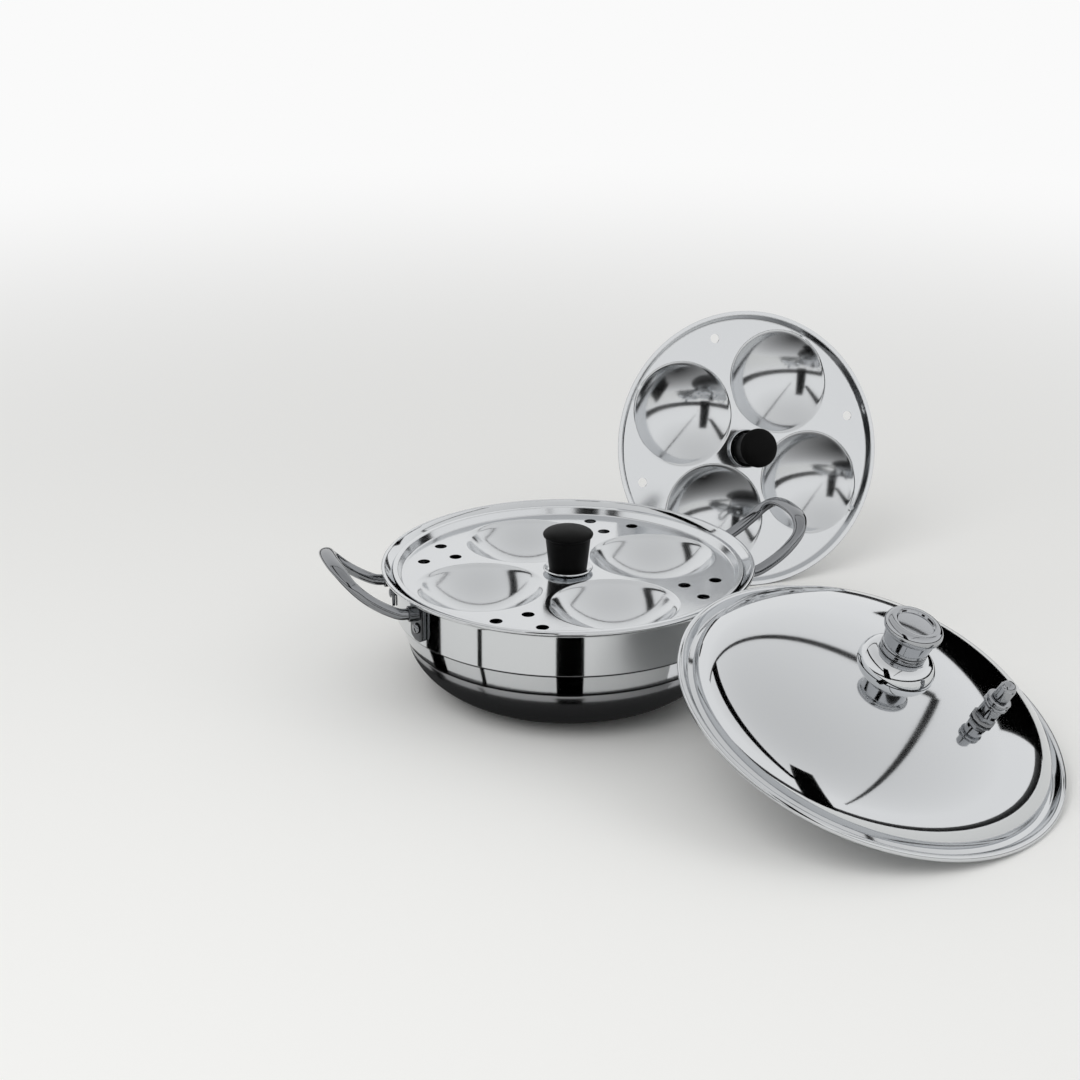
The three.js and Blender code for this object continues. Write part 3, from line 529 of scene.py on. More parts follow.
def rounded(corners, closed=False):
    """A profile of (radius, height) points. A corner with a third number is rounded to that radius."""
    outline = []
    count = len(corners)
    for i, corner in enumerate(corners):
        at = Vector(corner[:2])
        end = not closed and i in (0, count - 1)
        if len(corner) < 3 or end:
            outline.append(at)
            continue
        back = Vector(corners[i - 1][:2]) - at
        ahead = Vector(corners[(i + 1) % count][:2]) - at
        half = back.angle(ahead) / 2
        reach = min(corner[2] / math.tan(half), ROUNDING_SHARE * min(back.length, ahead.length))
        first = at + back.normalized() * reach
        last = at + ahead.normalized() * reach
        outline.extend(bend(first, at, last, ROUNDING_STEPS))
    return [(p.x, p.y) for p in outline]


def spun(profile, steps, closed=False, bm=None, start=0.0, angle=FULL_TURN):
    """A profile turned about Z, as a new bmesh or added to one."""
    bm = bm or bmesh.new()
    turn = Matrix.Rotation(start, 3, "Z")
    verts = [bm.verts.new(turn @ Vector((r, 0, z))) for r, z in profile]
    edges = [bm.edges.new(pair) for pair in zip(verts, verts[1:])]
    if closed:
        edges.append(bm.edges.new((verts[-1], verts[0])))
    bmesh.ops.spin(
        bm,
        geom=verts + edges,
        cent=(0, 0, 0),
        axis=(0, 0, 1),
        angle=angle,
        steps=steps,
        use_merge=angle == FULL_TURN,
    )
    return bm


def join(bm, other):
    """Adds one bmesh to another and frees it."""
    mesh = bpy.data.meshes.new("joined")
    other.to_mesh(mesh)
    other.free()
    bm.from_mesh(mesh)
    bpy.data.meshes.remove(mesh)


def finish(name, bm, place, body, node, material, sharp=38, recalculate=True):
    """Merges seams, places the piece in metres, shades it and hands it to its body.

    Edges that bend by more than sharp, in degrees, stay sharp.
    """
    bmesh.ops.remove_doubles(bm, verts=bm.verts, dist=MERGE_DISTANCE)
    bmesh.ops.transform(bm, matrix=Matrix.Scale(MM, 4) @ place, verts=bm.verts)
    if recalculate:
        bmesh.ops.recalc_face_normals(bm, faces=bm.faces)
    for edge in bm.edges:
        if edge.calc_face_angle(math.pi) > math.radians(sharp):
            edge.smooth = False
    mesh = bpy.data.meshes.new(name)
    bm.to_mesh(mesh)
    bm.free()
    mesh.shade_smooth()
    mesh.materials.append(material)
    piece = bpy.data.objects.new(name, mesh)
    bpy.context.scene.collection.objects.link(piece)
    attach(piece, body)
    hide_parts(node)
    return piece


# Vessel


def bowl_outline(sheet):
    """The rounded bottom, from its flat base to the lower pressed line."""
    steps = 36
    outline = []
    for i in range(steps + 1):
        angle = math.pi / 2 * i / steps
        out = math.sin(angle) ** (2 / BOWL_FULLNESS)
        down = max(0.0, math.cos(angle)) ** (2 / BOWL_FULLNESS)
        radius = BASE_RADIUS + out * (SHOULDER_RADIUS - BASE_RADIUS - sheet)
        outline.append((radius, BOWL_HEIGHT - down * (BOWL_HEIGHT - sheet)))
    return outline


def vessel_side(sheet):
    """The side up to the wall's foot, on its outside or a sheet's thickness in."""
    return [
        (0, sheet),
        *bowl_outline(sheet),
        (BAND_FOOT_RADIUS - sheet, BOWL_HEIGHT + LINE_RISE, LINE_ROUNDING),
        (BAND_RADIUS - sheet, UPPER_LINE_HEIGHT, LINE_CORNER),
        (WALL_RADIUS - sheet, UPPER_LINE_HEIGHT + LINE_RISE, LINE_ROUNDING),
    ]


def make_vessel():
    """The vessel as one spun sheet, flared at the top and rolled into a bead."""
    bead_middle = RIM_RADIUS - RIM_BEAD, VESSEL_HEIGHT - RIM_BEAD
    bead = arc(bead_middle, (RIM_BEAD, RIM_BEAD), start=215, end=525, steps=28)
    inside_height = FLARE_HEIGHT + FLARE_INSIDE_LIFT * VESSEL_SHEET
    profile = rounded(
        [
            *vessel_side(0),
            (WALL_RADIUS, FLARE_HEIGHT, FLARE_ROUNDING),
            *bead,
            (WALL_RADIUS - VESSEL_SHEET, inside_height, FLARE_ROUNDING),
            *reversed(vessel_side(VESSEL_SHEET)),
        ]
    )
    bm = spun(profile, steps=240)
    finish("vessel", bm, IDENTITY, "kadai", "kadai_shell", vessel_steel, sharp=50)


def catmull_rom(points, steps):
    """Points along a smooth curve through the given ones, spaced by the square root of their distances."""
    padded = [2 * points[0] - points[1], *points, 2 * points[-1] - points[-2]]
    curve = []
    for p0, p1, p2, p3 in zip(padded, padded[1:], padded[2:], padded[3:]):
        t1 = (p1 - p0).length ** 0.5
        t2 = t1 + (p2 - p1).length ** 0.5
        t3 = t2 + (p3 - p2).length ** 0.5
        for k in range(steps):
            t = t1 + (t2 - t1) * k / steps
            a1 = p0 * ((t1 - t) / t1) + p1 * (t / t1)
            a2 = p1 * ((t2 - t) / (t2 - t1)) + p2 * ((t - t1) / (t2 - t1))
            a3 = p2 * ((t3 - t) / (t3 - t2)) + p3 * ((t - t2) / (t3 - t2))
            b1 = a1 * ((t2 - t) / t2) + a2 * (t / t2)
            b2 = a2 * ((t3 - t) / (t3 - t1)) + a3 * ((t - t1) / (t3 - t1))
            curve.append(b1 * ((t2 - t) / (t2 - t1)) + b2 * ((t - t1) / (t2 - t1)))
    return [*curve, points[-1]]


def handle_route():
    """Points along the rod's middle: out from each lug, up, and together at the grip."""
    grip = WALL_RADIUS + HANDLE_REACH - GRIP_HALF_DEPTH
    # Shares of the way out to the grip, of the half spread, and of the rise
    arm = [
        (0, 1, 0),
        (0.1, 1, 0),
        (0.22, 1, 0.02),
        (0.45, 1, 0.2),
        (0.68, 0.98, 0.46),
        (0.86, 0.9, 0.74),
        (0.96, 0.62, 0.94),
    ]
    foot = Vector((ARM_START, 0, HANDLE_HEIGHT))
    reach = Vector((grip - ARM_START, HANDLE_HALF_SPREAD, HANDLE_RISE))
    side = [foot + reach * Vector(shares) for shares in arm]
    middle = Vector((grip, 0, HANDLE_HEIGHT + HANDLE_RISE))
    return [*side, middle, *[Vector((p.x, -p.y, p.z)) for p in reversed(side)]]


def make_handle(name, turn):
    """A bent rod, round in its arms and hammered flatter at the grip."""
    route = catmull_rom(handle_route(), steps=8)
    lengths = [0.0]
    for a, b in zip(route, route[1:]):
        lengths.append(lengths[-1] + (b - a).length)
    bm = bmesh.new()
    loops = []
    for i, centre in enumerate(route):
        share = lengths[i] / lengths[-1]
        tangent = (route[min(i + 1, len(route) - 1)] - route[max(i - 1, 0)]).normalized()
        across = Vector((0, 0, 1)).cross(tangent).normalized()
        up = tangent.cross(across)
        t = max(0.0, min(1.0, (GRIP_SHARE - abs(share - 0.5)) / GRIP_TAPER_SHARE))
        flat = t * t * (3 - 2 * t)
        depth = HANDLE_ROD + (GRIP_HALF_DEPTH - HANDLE_ROD) * flat
        width = HANDLE_ROD + (GRIP_HALF_WIDTH - HANDLE_ROD) * flat
        turned = Matrix((up * depth, across * width, tangent)).transposed().to_4x4()
        at = Matrix.Translation(centre) @ turned
        ring = bmesh.ops.create_circle(bm, segments=28, radius=1, matrix=at)["verts"]
        loops.append(list({edge for vert in ring for edge in vert.link_edges}))
    for first, second in zip(loops, loops[1:]):
        bmesh.ops.bridge_loops(bm, edges=first + second)
    bmesh.ops.holes_fill(bm, edges=bm.edges)
    place = Matrix.Rotation(turn, 4, "Z")
    finish(name, bm, place, "kadai", name, rod_steel_painted_dark, sharp=60)


def make_lug(node, turn):
    """A tab bent to the wall, with the short socket that takes the rod's end."""
    top = HANDLE_HEIGHT + SOCKET_RADIUS
    bm = bmesh.new()
    bmesh.ops.create_grid(bm, x_segments=12, y_segments=10, size=0.5)
    for vert in bm.verts:
        height = LUG_BOTTOM + (vert.co.y + 0.5) * (top - LUG_BOTTOM)
        drop = max(0.0, LUG_CORNER - (height - LUG_BOTTOM))
        half = LUG_HALF_WIDTH - LUG_CORNER + math.sqrt(max(0.0, LUG_CORNER**2 - drop**2))
        angle = 2 * vert.co.x * half / LUG_FACE
        vert.co = Vector((LUG_FACE * math.cos(angle), LUG_FACE * math.sin(angle), height))
    bmesh.ops.recalc_face_normals(bm, faces=bm.faces)
    if sum(face.normal.x for face in bm.faces) < 0:
        bmesh.ops.reverse_faces(bm, faces=bm.faces)
    bmesh.ops.solidify(bm, geom=bm.faces, thickness=LUG_THICKNESS)
    rims = [edge for edge in bm.edges if edge.calc_face_angle(0) > LUG_EDGE_ANGLE]
    bmesh.ops.bevel(
        bm,
        geom=rims,
        offset=LUG_EDGE,
        offset_type="OFFSET",
        segments=3,
        profile=0.5,
        affect="EDGES",
        material=-1,
    )
    bmesh.ops.transform(bm, matrix=Matrix.Rotation(turn, 4, "Z"), verts=bm.verts)
    side = -1 if abs(math.degrees(turn)) > 90 else 1
    mouth = ARM_START + SOCKET_LENGTH
    foot = ARM_START - SEAT_GAP - LUG_THICKNESS * 0.5
    socket = spun(
        rounded(
            [
                (0, foot),
                (SOCKET_RADIUS, foot),
                (SOCKET_RADIUS, mouth, SOCKET_ROUNDING),
                (HANDLE_ROD + SEAT_GAP, mouth, SOCKET_MOUTH_ROUNDING),
                (HANDLE_ROD + SEAT_GAP, ARM_START - SEAT_GAP),
                (0, ARM_START - SEAT_GAP),
            ]
        ),
        steps=48,
    )
    y = WALL_RADIUS * math.sin(turn)
    aim = Matrix.Translation((0, y, HANDLE_HEIGHT)) @ Matrix.Rotation(side * math.pi / 2, 4, "Y")
    bmesh.ops.transform(socket, matrix=aim, verts=socket.verts)
    join(bm, socket)
    finish(node, bm, IDENTITY, "kadai", node, lug_steel_painted_dark)


def make_rivet(node, turn):
    """A rivet: a domed head on the lug and a flat tail inside the wall."""
    head = LUG_FACE + SEAT_GAP
    tail = (WALL_RADIUS - VESSEL_SHEET) * math.cos(math.pi / WALL_SIDES) - 2 * SEAT_GAP
    dome_foot = head + RIVET_HEAD_EDGE
    dome = RIVET_HEAD_RADIUS, RIVET_HEAD_HEIGHT - RIVET_HEAD_EDGE
    profile = rounded(
        [
            (0, tail - RIVET_TAIL_HEIGHT),
            (RIVET_HEAD_RADIUS, tail - RIVET_TAIL_HEIGHT, RIVET_ROUNDING),
            (RIVET_HEAD_RADIUS, tail),
            (RIVET_RADIUS, tail),
            (RIVET_RADIUS, head),
            (RIVET_HEAD_RADIUS - RIVET_ROUNDING, head),
            *arc((0, dome_foot), dome, start=0, end=90, steps=14),
        ]
    )
    place = (
        Matrix.Rotation(turn, 4, "Z")
        @ Matrix.Translation((0, 0, RIVET_HEIGHT))
        @ Matrix.Rotation(math.pi / 2, 4, "Y")
    )
    finish(node, spun(profile, steps=40), place, "kadai", node, rod_steel_painted_dark)


def make_handles():
    """Two handles, each held by two riveted lugs."""
    make_handle("right_handle", 0)
    make_handle("left_handle", math.pi)
    ends = {
        "right_front": -LUG_TURN,
        "right_back": LUG_TURN,
        "left_front": math.pi + LUG_TURN,
        "left_back": math.pi - LUG_TURN,
    }
    for name, turn in ends.items():
        make_lug(f"{name}_lug", turn)
        make_rivet(f"{name}_rivet", turn)


# Steaming plates


def make_plate(spec, place, steel):
    """A pressed sheet: a flat web between four round cups, steam holes and a turned-up, rolled edge."""
    outer = spec["radius"]
    flat = outer - PLATE_EDGE_WIDTH
    top = PLATE_EDGE_RISE + PLATE_SHEET / 2
    bm = spun(
        rounded(
            [
                (flat - PLATE_WEB_MARGIN, 0),
                (flat + PLATE_EDGE_FOOT, 0, PLATE_FOOT_ROUNDING),
                (flat + PLATE_EDGE_HEAD, top, PLATE_HEAD_ROUNDING),
                (outer, top, PLATE_RIM_ROUNDING),
                (outer - PLATE_RIM_TURN, PLATE_EDGE_RISE - PLATE_RIM_DROP),
            ]
        ),
        steps=200,
    )
    bmesh.ops.remove_doubles(bm, verts=bm.verts, dist=MERGE_DISTANCE)
    depth = spec["cup_depth"]
    radius = spec["cup_radius"]
    reach = spec["cup_lip"]
    sphere = (radius**2 + depth**2) / (2 * depth)
    centre = sphere - depth
    slope = math.asin((radius - reach) / sphere)
    *cup, inner = arc((0, centre), (sphere, sphere), -90, math.degrees(slope) - 90, CUP_STEPS)
    corner = Vector((inner[0] - inner[1] / math.tan(slope), 0))
    edge = bend(Vector(inner), corner, Vector((radius + reach, 0)), CUP_LIP_STEPS)
    for quarter in range(4):
        start = math.radians(spec["turn"] + 90 * quarter)
        fresh = spun([*cup, *edge], steps=96)
        bmesh.ops.remove_doubles(fresh, verts=fresh.verts, dist=MERGE_DISTANCE)
        move = Matrix.Rotation(start, 4, "Z") @ Matrix.Translation((spec["cup_pitch"], 0, 0))
        bmesh.ops.transform(fresh, matrix=move, verts=fresh.verts)
        join(bm, fresh)
        for distance, past in spec["holes"]:
            turn = Matrix.Rotation(start + math.radians(past), 4, "Z")
            at = turn @ Matrix.Translation((distance, 0, 0))
            bmesh.ops.create_circle(bm, segments=28, radius=spec["hole_radius"], matrix=at)
    bmesh.ops.create_circle(bm, segments=24, radius=SCREW_HOLE)
    level = [e for e in bm.edges if all(abs(v.co.z) < MERGE_DISTANCE for v in e.verts)]
    borders = [e for e in level if len(e.link_faces) < 2]
    bmesh.ops.triangle_fill(bm, use_beauty=True, use_dissolve=False, edges=borders, normal=(0, 0, 1))
    for edge in borders:
        edge.smooth = False
    bmesh.ops.recalc_face_normals(bm, faces=bm.faces)
    if sum(face.normal.z * face.calc_area() for face in bm.faces) < 0:
        bmesh.ops.reverse_faces(bm, faces=bm.faces)
    name = f"{spec['name']}_plate"
    piece = finish(name, bm, place, name, name, steel, sharp=60, recalculate=False)
    wall = piece.modifiers.new("sheet", "SOLIDIFY")
    wall.thickness = PLATE_SHEET * MM
    wall.offset = -1
    shade = piece.modifiers.new("flat web", "WEIGHTED_NORMAL")
    shade.mode = "FACE_AREA"
    shade.weight = 80
    shade.keep_sharp = True


def make_plate_knob(spec, place, steel):
    """A tapered black knob with a low domed top, on a dished steel ferrule."""
    body = f"{spec['name']}_plate"
    foot = SEAT_GAP + FERRULE_SHEET + SEAT_GAP
    top = foot + spec["knob_height"]
    brim = top - KNOB_CAP_HEIGHT
    dome_foot = brim + KNOB_DOME_RISE
    bore_top = foot + KNOB_INSERT_LENGTH + SEAT_GAP
    knob = rounded(
        [
            (0, bore_top),
            (KNOB_BORE_RADIUS, bore_top),
            (KNOB_BORE_RADIUS, foot),
            (spec["knob_base"], foot, KNOB_FOOT_ROUNDING),
            (spec["knob_top"] - KNOB_CAP_STEP, brim, KNOB_CAP_ROUNDING),
            (spec["knob_top"] - KNOB_CAP_EDGE, brim + KNOB_CAP_EDGE_RISE, KNOB_CAP_ROUNDING),
            *arc((0, dome_foot), (spec["knob_top"], top - dome_foot), start=0, end=90, steps=24),
        ]
    )
    name = f"{spec['name']}_knob"
    finish(name, spun(knob, steps=96), place, body, name, bakelite)
    flat = spec["knob_base"] + FERRULE_MARGIN
    ferrule = rounded(
        [
            (SCREW_HOLE, SEAT_GAP),
            (flat, SEAT_GAP, FERRULE_BEND),
            (spec["knob_top"], FERRULE_RISE, FERRULE_EDGE_ROUNDING),
            (spec["knob_top"] - FERRULE_EDGE, FERRULE_RISE + FERRULE_EDGE_RISE, FERRULE_EDGE_ROUNDING),
            (flat - FERRULE_BEND_SHIFT, SEAT_GAP + FERRULE_SHEET, FERRULE_BEND),
            (SCREW_HOLE, SEAT_GAP + FERRULE_SHEET),
        ],
        closed=True,
    )
    name = f"{spec['name']}_knob_ferrule"
    finish(name, spun(ferrule, steps=96, closed=True), place, body, name, steel)


# Lid


def dome_outline(sheet, middle):
    """The dome from its middle hole to its foot, with points close together at the foot."""
    steps = 72
    radii = [(DOME_RADIUS - sheet) * math.sin(math.pi / 2 * i / steps) for i in range(steps + 1)]
    return [(r, dome_height(r, sheet)) for r in [middle, *[r for r in radii if r > middle]]]


def make_lid():
    """The lid as one spun sheet: a dome, a groove round its foot and a rolled bead."""
    bead_radius = LID_RADIUS - LID_BEAD
    groove = (DOME_RADIUS + bead_radius - LID_BEAD) / 2
    floor = DOME_FOOT - LID_GROOVE_DEPTH
    underside = LID_SHEET * LID_UNDERSIDE_WIDTH
    bead = arc((bead_radius, LID_BEAD), (LID_BEAD, LID_BEAD), start=165, end=-145, steps=24)
    profile = rounded(
        [
            *dome_outline(0, LID_SCREW_HOLE),
            (groove, floor, LID_GROOVE_ROUNDING),
            *bead,
            (groove + underside, floor - LID_SHEET, LID_UNDERSIDE_ROUNDING),
            (groove - underside, floor - LID_SHEET, LID_UNDERSIDE_ROUNDING),
            *reversed(dome_outline(LID_SHEET, LID_SCREW_HOLE)),
        ],
        closed=True,
    )
    bm = spun(profile, steps=240, closed=True)
    finish("lid", bm, LID_PLACE, "lid", "lid_shell", lid_steel, sharp=60)


def make_lid_knob():
    """A turned knob on a bell-shaped skirt, with a narrow collar between them."""
    skirt_foot = dome_height(SKIRT_RADIUS, 0) + SEAT_GAP
    skirt_top = LID_HEIGHT + SKIRT_HEIGHT
    shoulder = (COLLAR_RADIUS + SKIRT_LEDGE, skirt_foot)
    span = (SKIRT_RADIUS - COLLAR_RADIUS - SKIRT_LEDGE, skirt_top - skirt_foot)
    inside_span = (span[0] - SKIRT_SHEET, span[1] - SKIRT_SHEET)
    skirt = [
        *arc(shoulder, span, start=0, end=90, steps=24),
        (LID_SCREW_HOLE, skirt_top),
        (LID_SCREW_HOLE, skirt_top - SKIRT_SHEET),
        *arc(shoulder, inside_span, start=90, end=0, steps=18),
    ]
    bm = spun(skirt, steps=120, closed=True)
    finish("lid_knob_skirt", bm, LID_PLACE, "lid", "lid_knob_skirt", lid_steel)
    collar_foot = skirt_top + SEAT_GAP
    collar_top = collar_foot + COLLAR_HEIGHT
    collar = rounded(
        [
            (LID_SCREW_HOLE, collar_foot),
            (COLLAR_RADIUS, collar_foot, COLLAR_ROUNDING),
            (COLLAR_RADIUS, collar_top, COLLAR_ROUNDING),
            (LID_SCREW_HOLE, collar_top),
        ],
        closed=True,
    )
    bm = spun(collar, steps=120, closed=True)
    finish("lid_knob_collar", bm, LID_PLACE, "lid", "lid_knob_collar", whistle_steel)
    foot = collar_top + SEAT_GAP
    top = foot + LID_KNOB_HEIGHT
    neck_top = foot + LID_KNOB_HEIGHT * LID_KNOB_NECK_SHARE
    middle = foot + LID_KNOB_HEIGHT * LID_KNOB_ROLL_SHARE
    roll_middle = LID_KNOB_RADIUS - LID_KNOB_ROLL, middle
    bore_top = foot + LID_KNOB_HEIGHT * LID_KNOB_BORE_SHARE + SEAT_GAP
    dish = LID_KNOB_RADIUS * LID_KNOB_DISH_SHARE
    knob = rounded(
        [
            (0, bore_top),
            (LID_SCREW_HOLE, bore_top),
            (LID_SCREW_HOLE, foot),
            (LID_KNOB_NECK, foot, LID_KNOB_FOOT_ROUNDING),
            (LID_KNOB_NECK + LID_KNOB_FLARE, neck_top, LID_KNOB_NECK_ROUNDING),
            *arc(roll_middle, (LID_KNOB_ROLL, top - middle), start=-60, end=80, steps=22),
            (dish, top - LID_KNOB_DISH_RIM, LID_KNOB_DISH_RIM_ROUNDING),
            (dish - LID_KNOB_DISH_SLOPE, top - LID_KNOB_DISH_DEPTH, LID_KNOB_DISH_FOOT_ROUNDING),
            (0, top - LID_KNOB_DISH_MIDDLE),
        ]
    )
    bm = spun(knob, steps=120)
    finish("lid_knob", bm, LID_PLACE, "lid", "lid_knob", knob_steel)


def make_whistle():
    """The whistle: a crowned skirt, a grooved double flange and a slim cap with a domed tip."""
    place = vent_place()
    foot = VENT_HEX_TOP + SEAT_GAP
    skirt_top = foot + WHISTLE_SKIRT_HEIGHT
    flange_top = skirt_top + WHISTLE_FLANGE_HEIGHT
    spigot_top = flange_top + WHISTLE_CAP_HEIGHT / 2
    bore_top = VENT_NOZZLE_TOP + WHISTLE_BORE_ROOM
    crown = foot + NOTCH_HEIGHT
    groove = WHISTLE_FLANGE - WHISTLE_GROOVE
    slopes = [skirt_top + WHISTLE_FLANGE_HEIGHT * share for share in WHISTLE_GROOVE_SHARES]
    body = rounded(
        [
            (0, bore_top),
            (WHISTLE_BORE, bore_top),
            (WHISTLE_BORE, crown),
            (WHISTLE_SKIRT, crown),
            (WHISTLE_SKIRT, skirt_top - WHISTLE_NECK_DROP, WHISTLE_ROUNDING),
            (WHISTLE_SKIRT - WHISTLE_NECK, skirt_top),
            (WHISTLE_FLANGE, skirt_top + WHISTLE_FLANGE_EDGE, WHISTLE_ROUNDING),
            (WHISTLE_FLANGE, slopes[0], WHISTLE_ROUNDING),
            (groove, slopes[1]),
            (groove, slopes[2]),
            (WHISTLE_FLANGE, slopes[3], WHISTLE_ROUNDING),
            (WHISTLE_FLANGE, flange_top - WHISTLE_FLANGE_EDGE, WHISTLE_ROUNDING),
            (WHISTLE_FLANGE - WHISTLE_FLANGE_BEVEL, flange_top, WHISTLE_ROUNDING),
            (WHISTLE_SPIGOT, flange_top),
            (WHISTLE_SPIGOT, spigot_top),
            (0, spigot_top),
        ]
    )
    bm = spun(body, steps=72)
    gap = 2 * math.asin(NOTCH_WIDTH / 2 / WHISTLE_SKIRT)
    tooth = [(WHISTLE_BORE, foot), (WHISTLE_SKIRT, foot), (WHISTLE_SKIRT, crown), (WHISTLE_BORE, crown)]
    for quarter in range(4):
        start = math.radians(45 + 90 * quarter) + gap / 2
        spun(tooth, steps=14, closed=True, bm=bm, start=start, angle=math.pi / 2 - gap)
    bmesh.ops.holes_fill(bm, edges=[e for e in bm.edges if len(e.link_faces) == 1], sides=4)
    finish("whistle_body", bm, place, "whistle", "whistle_body", whistle_steel)
    cap_foot = flange_top + SEAT_GAP
    cap_top = cap_foot + WHISTLE_CAP_HEIGHT
    hollow = WHISTLE_SPIGOT + SEAT_GAP
    tip = WHISTLE_CAP - WHISTLE_CAP_STEP
    step, tip_foot = [cap_top - WHISTLE_CAP * share for share in WHISTLE_CAP_SHARES]
    cap = rounded(
        [
            (0, spigot_top + SEAT_GAP),
            (hollow, spigot_top + SEAT_GAP),
            (hollow, cap_foot),
            (WHISTLE_CAP, cap_foot, WHISTLE_ROUNDING),
            (WHISTLE_CAP, step, WHISTLE_ROUNDING),
            (tip, tip_foot),
            *arc((0, tip_foot), (tip, cap_top - tip_foot), start=8, end=90, steps=16),
        ]
    )
    bm = spun(cap, steps=64)
    finish("whistle_cap", bm, place, "whistle", "whistle_cap", whistle_steel)


def dress_nodes():
    """Pieces that the solids already give the shape of take only a material."""
    finishes = {
        "vent_stem": whistle_steel,
        "vent_gasket": silicone,
        "vent_nut": fastener_steel,
        "lid_knob_washer": fastener_steel,
        "lid_knob_screw": fastener_steel,
        "whistle_needle": fastener_steel,
    }
    for plate in ("upper", "lower"):
        finishes[f"{plate}_knob_insert"] = insert_brass
        finishes[f"{plate}_knob_washer"] = fastener_steel
        finishes[f"{plate}_knob_screw"] = fastener_steel
    for node, material in finishes.items():
        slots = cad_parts[node].data.materials
        slots.clear()
        slots.append(material)


# Camera, worked out for a square picture of 1080 pixels a side

PICTURE = 1080
FOCAL_PIXELS = 2033.7
SENSOR_WIDTH = 36
CAMERA_TURN = -18  # degrees, as the rise is
CAMERA_RISE = 20.45
CAMERA_DISTANCE = 1200
RIM_PIXEL = (568, 560)  # where the middle of the vessel's mouth falls

# Studio

BACKDROP = "#fafafa"
PAPER = "#f4f4f2"
ROOM_LIGHT = 0.7
PANELS_DIM_FROM = 0.45  # of the way up to straight overhead
PANELS_OVERHEAD = 0.76
PAPER_END = 0.3  # metres out, where the backdrop starts to take over
BACKDROP_START = 1.8
CEILING_HEIGHT = 1500
FLOOR_HALF_WIDTH = 6  # metres
CARD_LIFT = 0.4  # over the floor, clear of the mats
MAT_LIFT = 0.3
PLATE_MAT_LIFT = 0.2
PLATE_MAT_PLACE = Matrix.Translation((178, 96, 0))
SKYLINE_RADIUS = 2500
WALL_CARD_SPILL = (20, 16)  # past the wall's head and foot
BAND_CARD_SPILL = 6
CARD_ANGLES = {"middle": (-4.4, 4.4), "seam": (-30.4, -28.8), "left": (-53, -45.5)}

# Lightless card
black_card, card_tree = new_material("black_card")
no_light = add(card_tree, "ShaderNodeEmission", Strength=0.0)
add(card_tree, "ShaderNodeOutputMaterial", Surface=no_light.outputs[0])


def hide_from_view(name, mesh):
    """Puts a card on the stage where only reflections see it."""
    card = bpy.data.objects.new(name, mesh)
    bpy.context.scene.collection.objects.link(card)
    card.visible_camera = False
    card.visible_diffuse = False
    card.visible_shadow = False


def stage_card(name, corners):
    """A black card that only reflections see."""
    bm = bmesh.new()
    bm.faces.new([bm.verts.new(Vector(c) * MM) for c in corners])
    mesh = bpy.data.meshes.new(name)
    bm.to_mesh(mesh)
    bm.free()
    mesh.materials.append(black_card)
    hide_from_view(name, mesh)


def camera_axes():
    """The camera's right and the way it looks, level with the floor."""
    turn = math.radians(CAMERA_TURN)
    return Vector((math.cos(turn), math.sin(turn), 0)), Vector((-math.sin(turn), math.cos(turn), 0))


def camera_place():
    """The camera's position in millimetres, and its right, up and forward directions."""
    rise = math.radians(CAMERA_RISE)
    right, away = camera_axes()
    ahead = away * math.cos(rise) - Vector((0, 0, math.sin(rise)))
    up = right.cross(ahead)
    ray = right * ((RIM_PIXEL[0] - PICTURE / 2) / FOCAL_PIXELS)
    ray -= up * ((RIM_PIXEL[1] - PICTURE / 2) / FOCAL_PIXELS)
    ray = (ray + ahead).normalized()
    return Vector((0, 0, VESSEL_HEIGHT)) - ray * CAMERA_DISTANCE, right, up, ahead


def mirrored_card(name, angles, top, bottom):
    """A card on the floor that a strip of the vessel's side mirrors between two angles from its middle."""
    eye = camera_place()[0]
    right, away = camera_axes()
    start, end = angles
    corners = []
    for angle, (radius, height) in ((start, top), (end, top), (end, bottom), (start, bottom)):
        turn = math.radians(angle)
        out = right * math.sin(turn) - away * math.cos(turn)
        face = (out * (top[1] - bottom[1]) - Vector((0, 0, top[0] - bottom[0]))).normalized()
        spot = out * radius + Vector((0, 0, height))
        ray = (spot - eye).reflect(face)
        corners.append(spot + ray * ((CARD_LIFT - height) / ray.z))
    stage_card(name, corners)


def ceiling_strip(name, start, end, width):
    """A dark batten between light panels overhead. Its ends are measured to the camera's right and away."""
    right, away = camera_axes()
    first = right * start[0] + away * start[1] + Vector((0, 0, CEILING_HEIGHT))
    last = right * end[0] + away * end[1] + Vector((0, 0, CEILING_HEIGHT))
    side = (last - first).cross(Vector((0, 0, 1))).normalized() * width / 2
    stage_card(name, [first - side, first + side, last + side, last - side])


def upright_flag(name, middle, width, height):
    """A card that stands facing the vessel. Its middle is measured to the camera's right and away."""
    right, away = camera_axes()
    at = right * middle[0] + away * middle[1]
    along = Vector((-at.y, at.x, 0)).normalized() * width / 2
    up = Vector((0, 0, height))
    stage_card(name, [at - along, at + along, at + along + up, at - along + up])


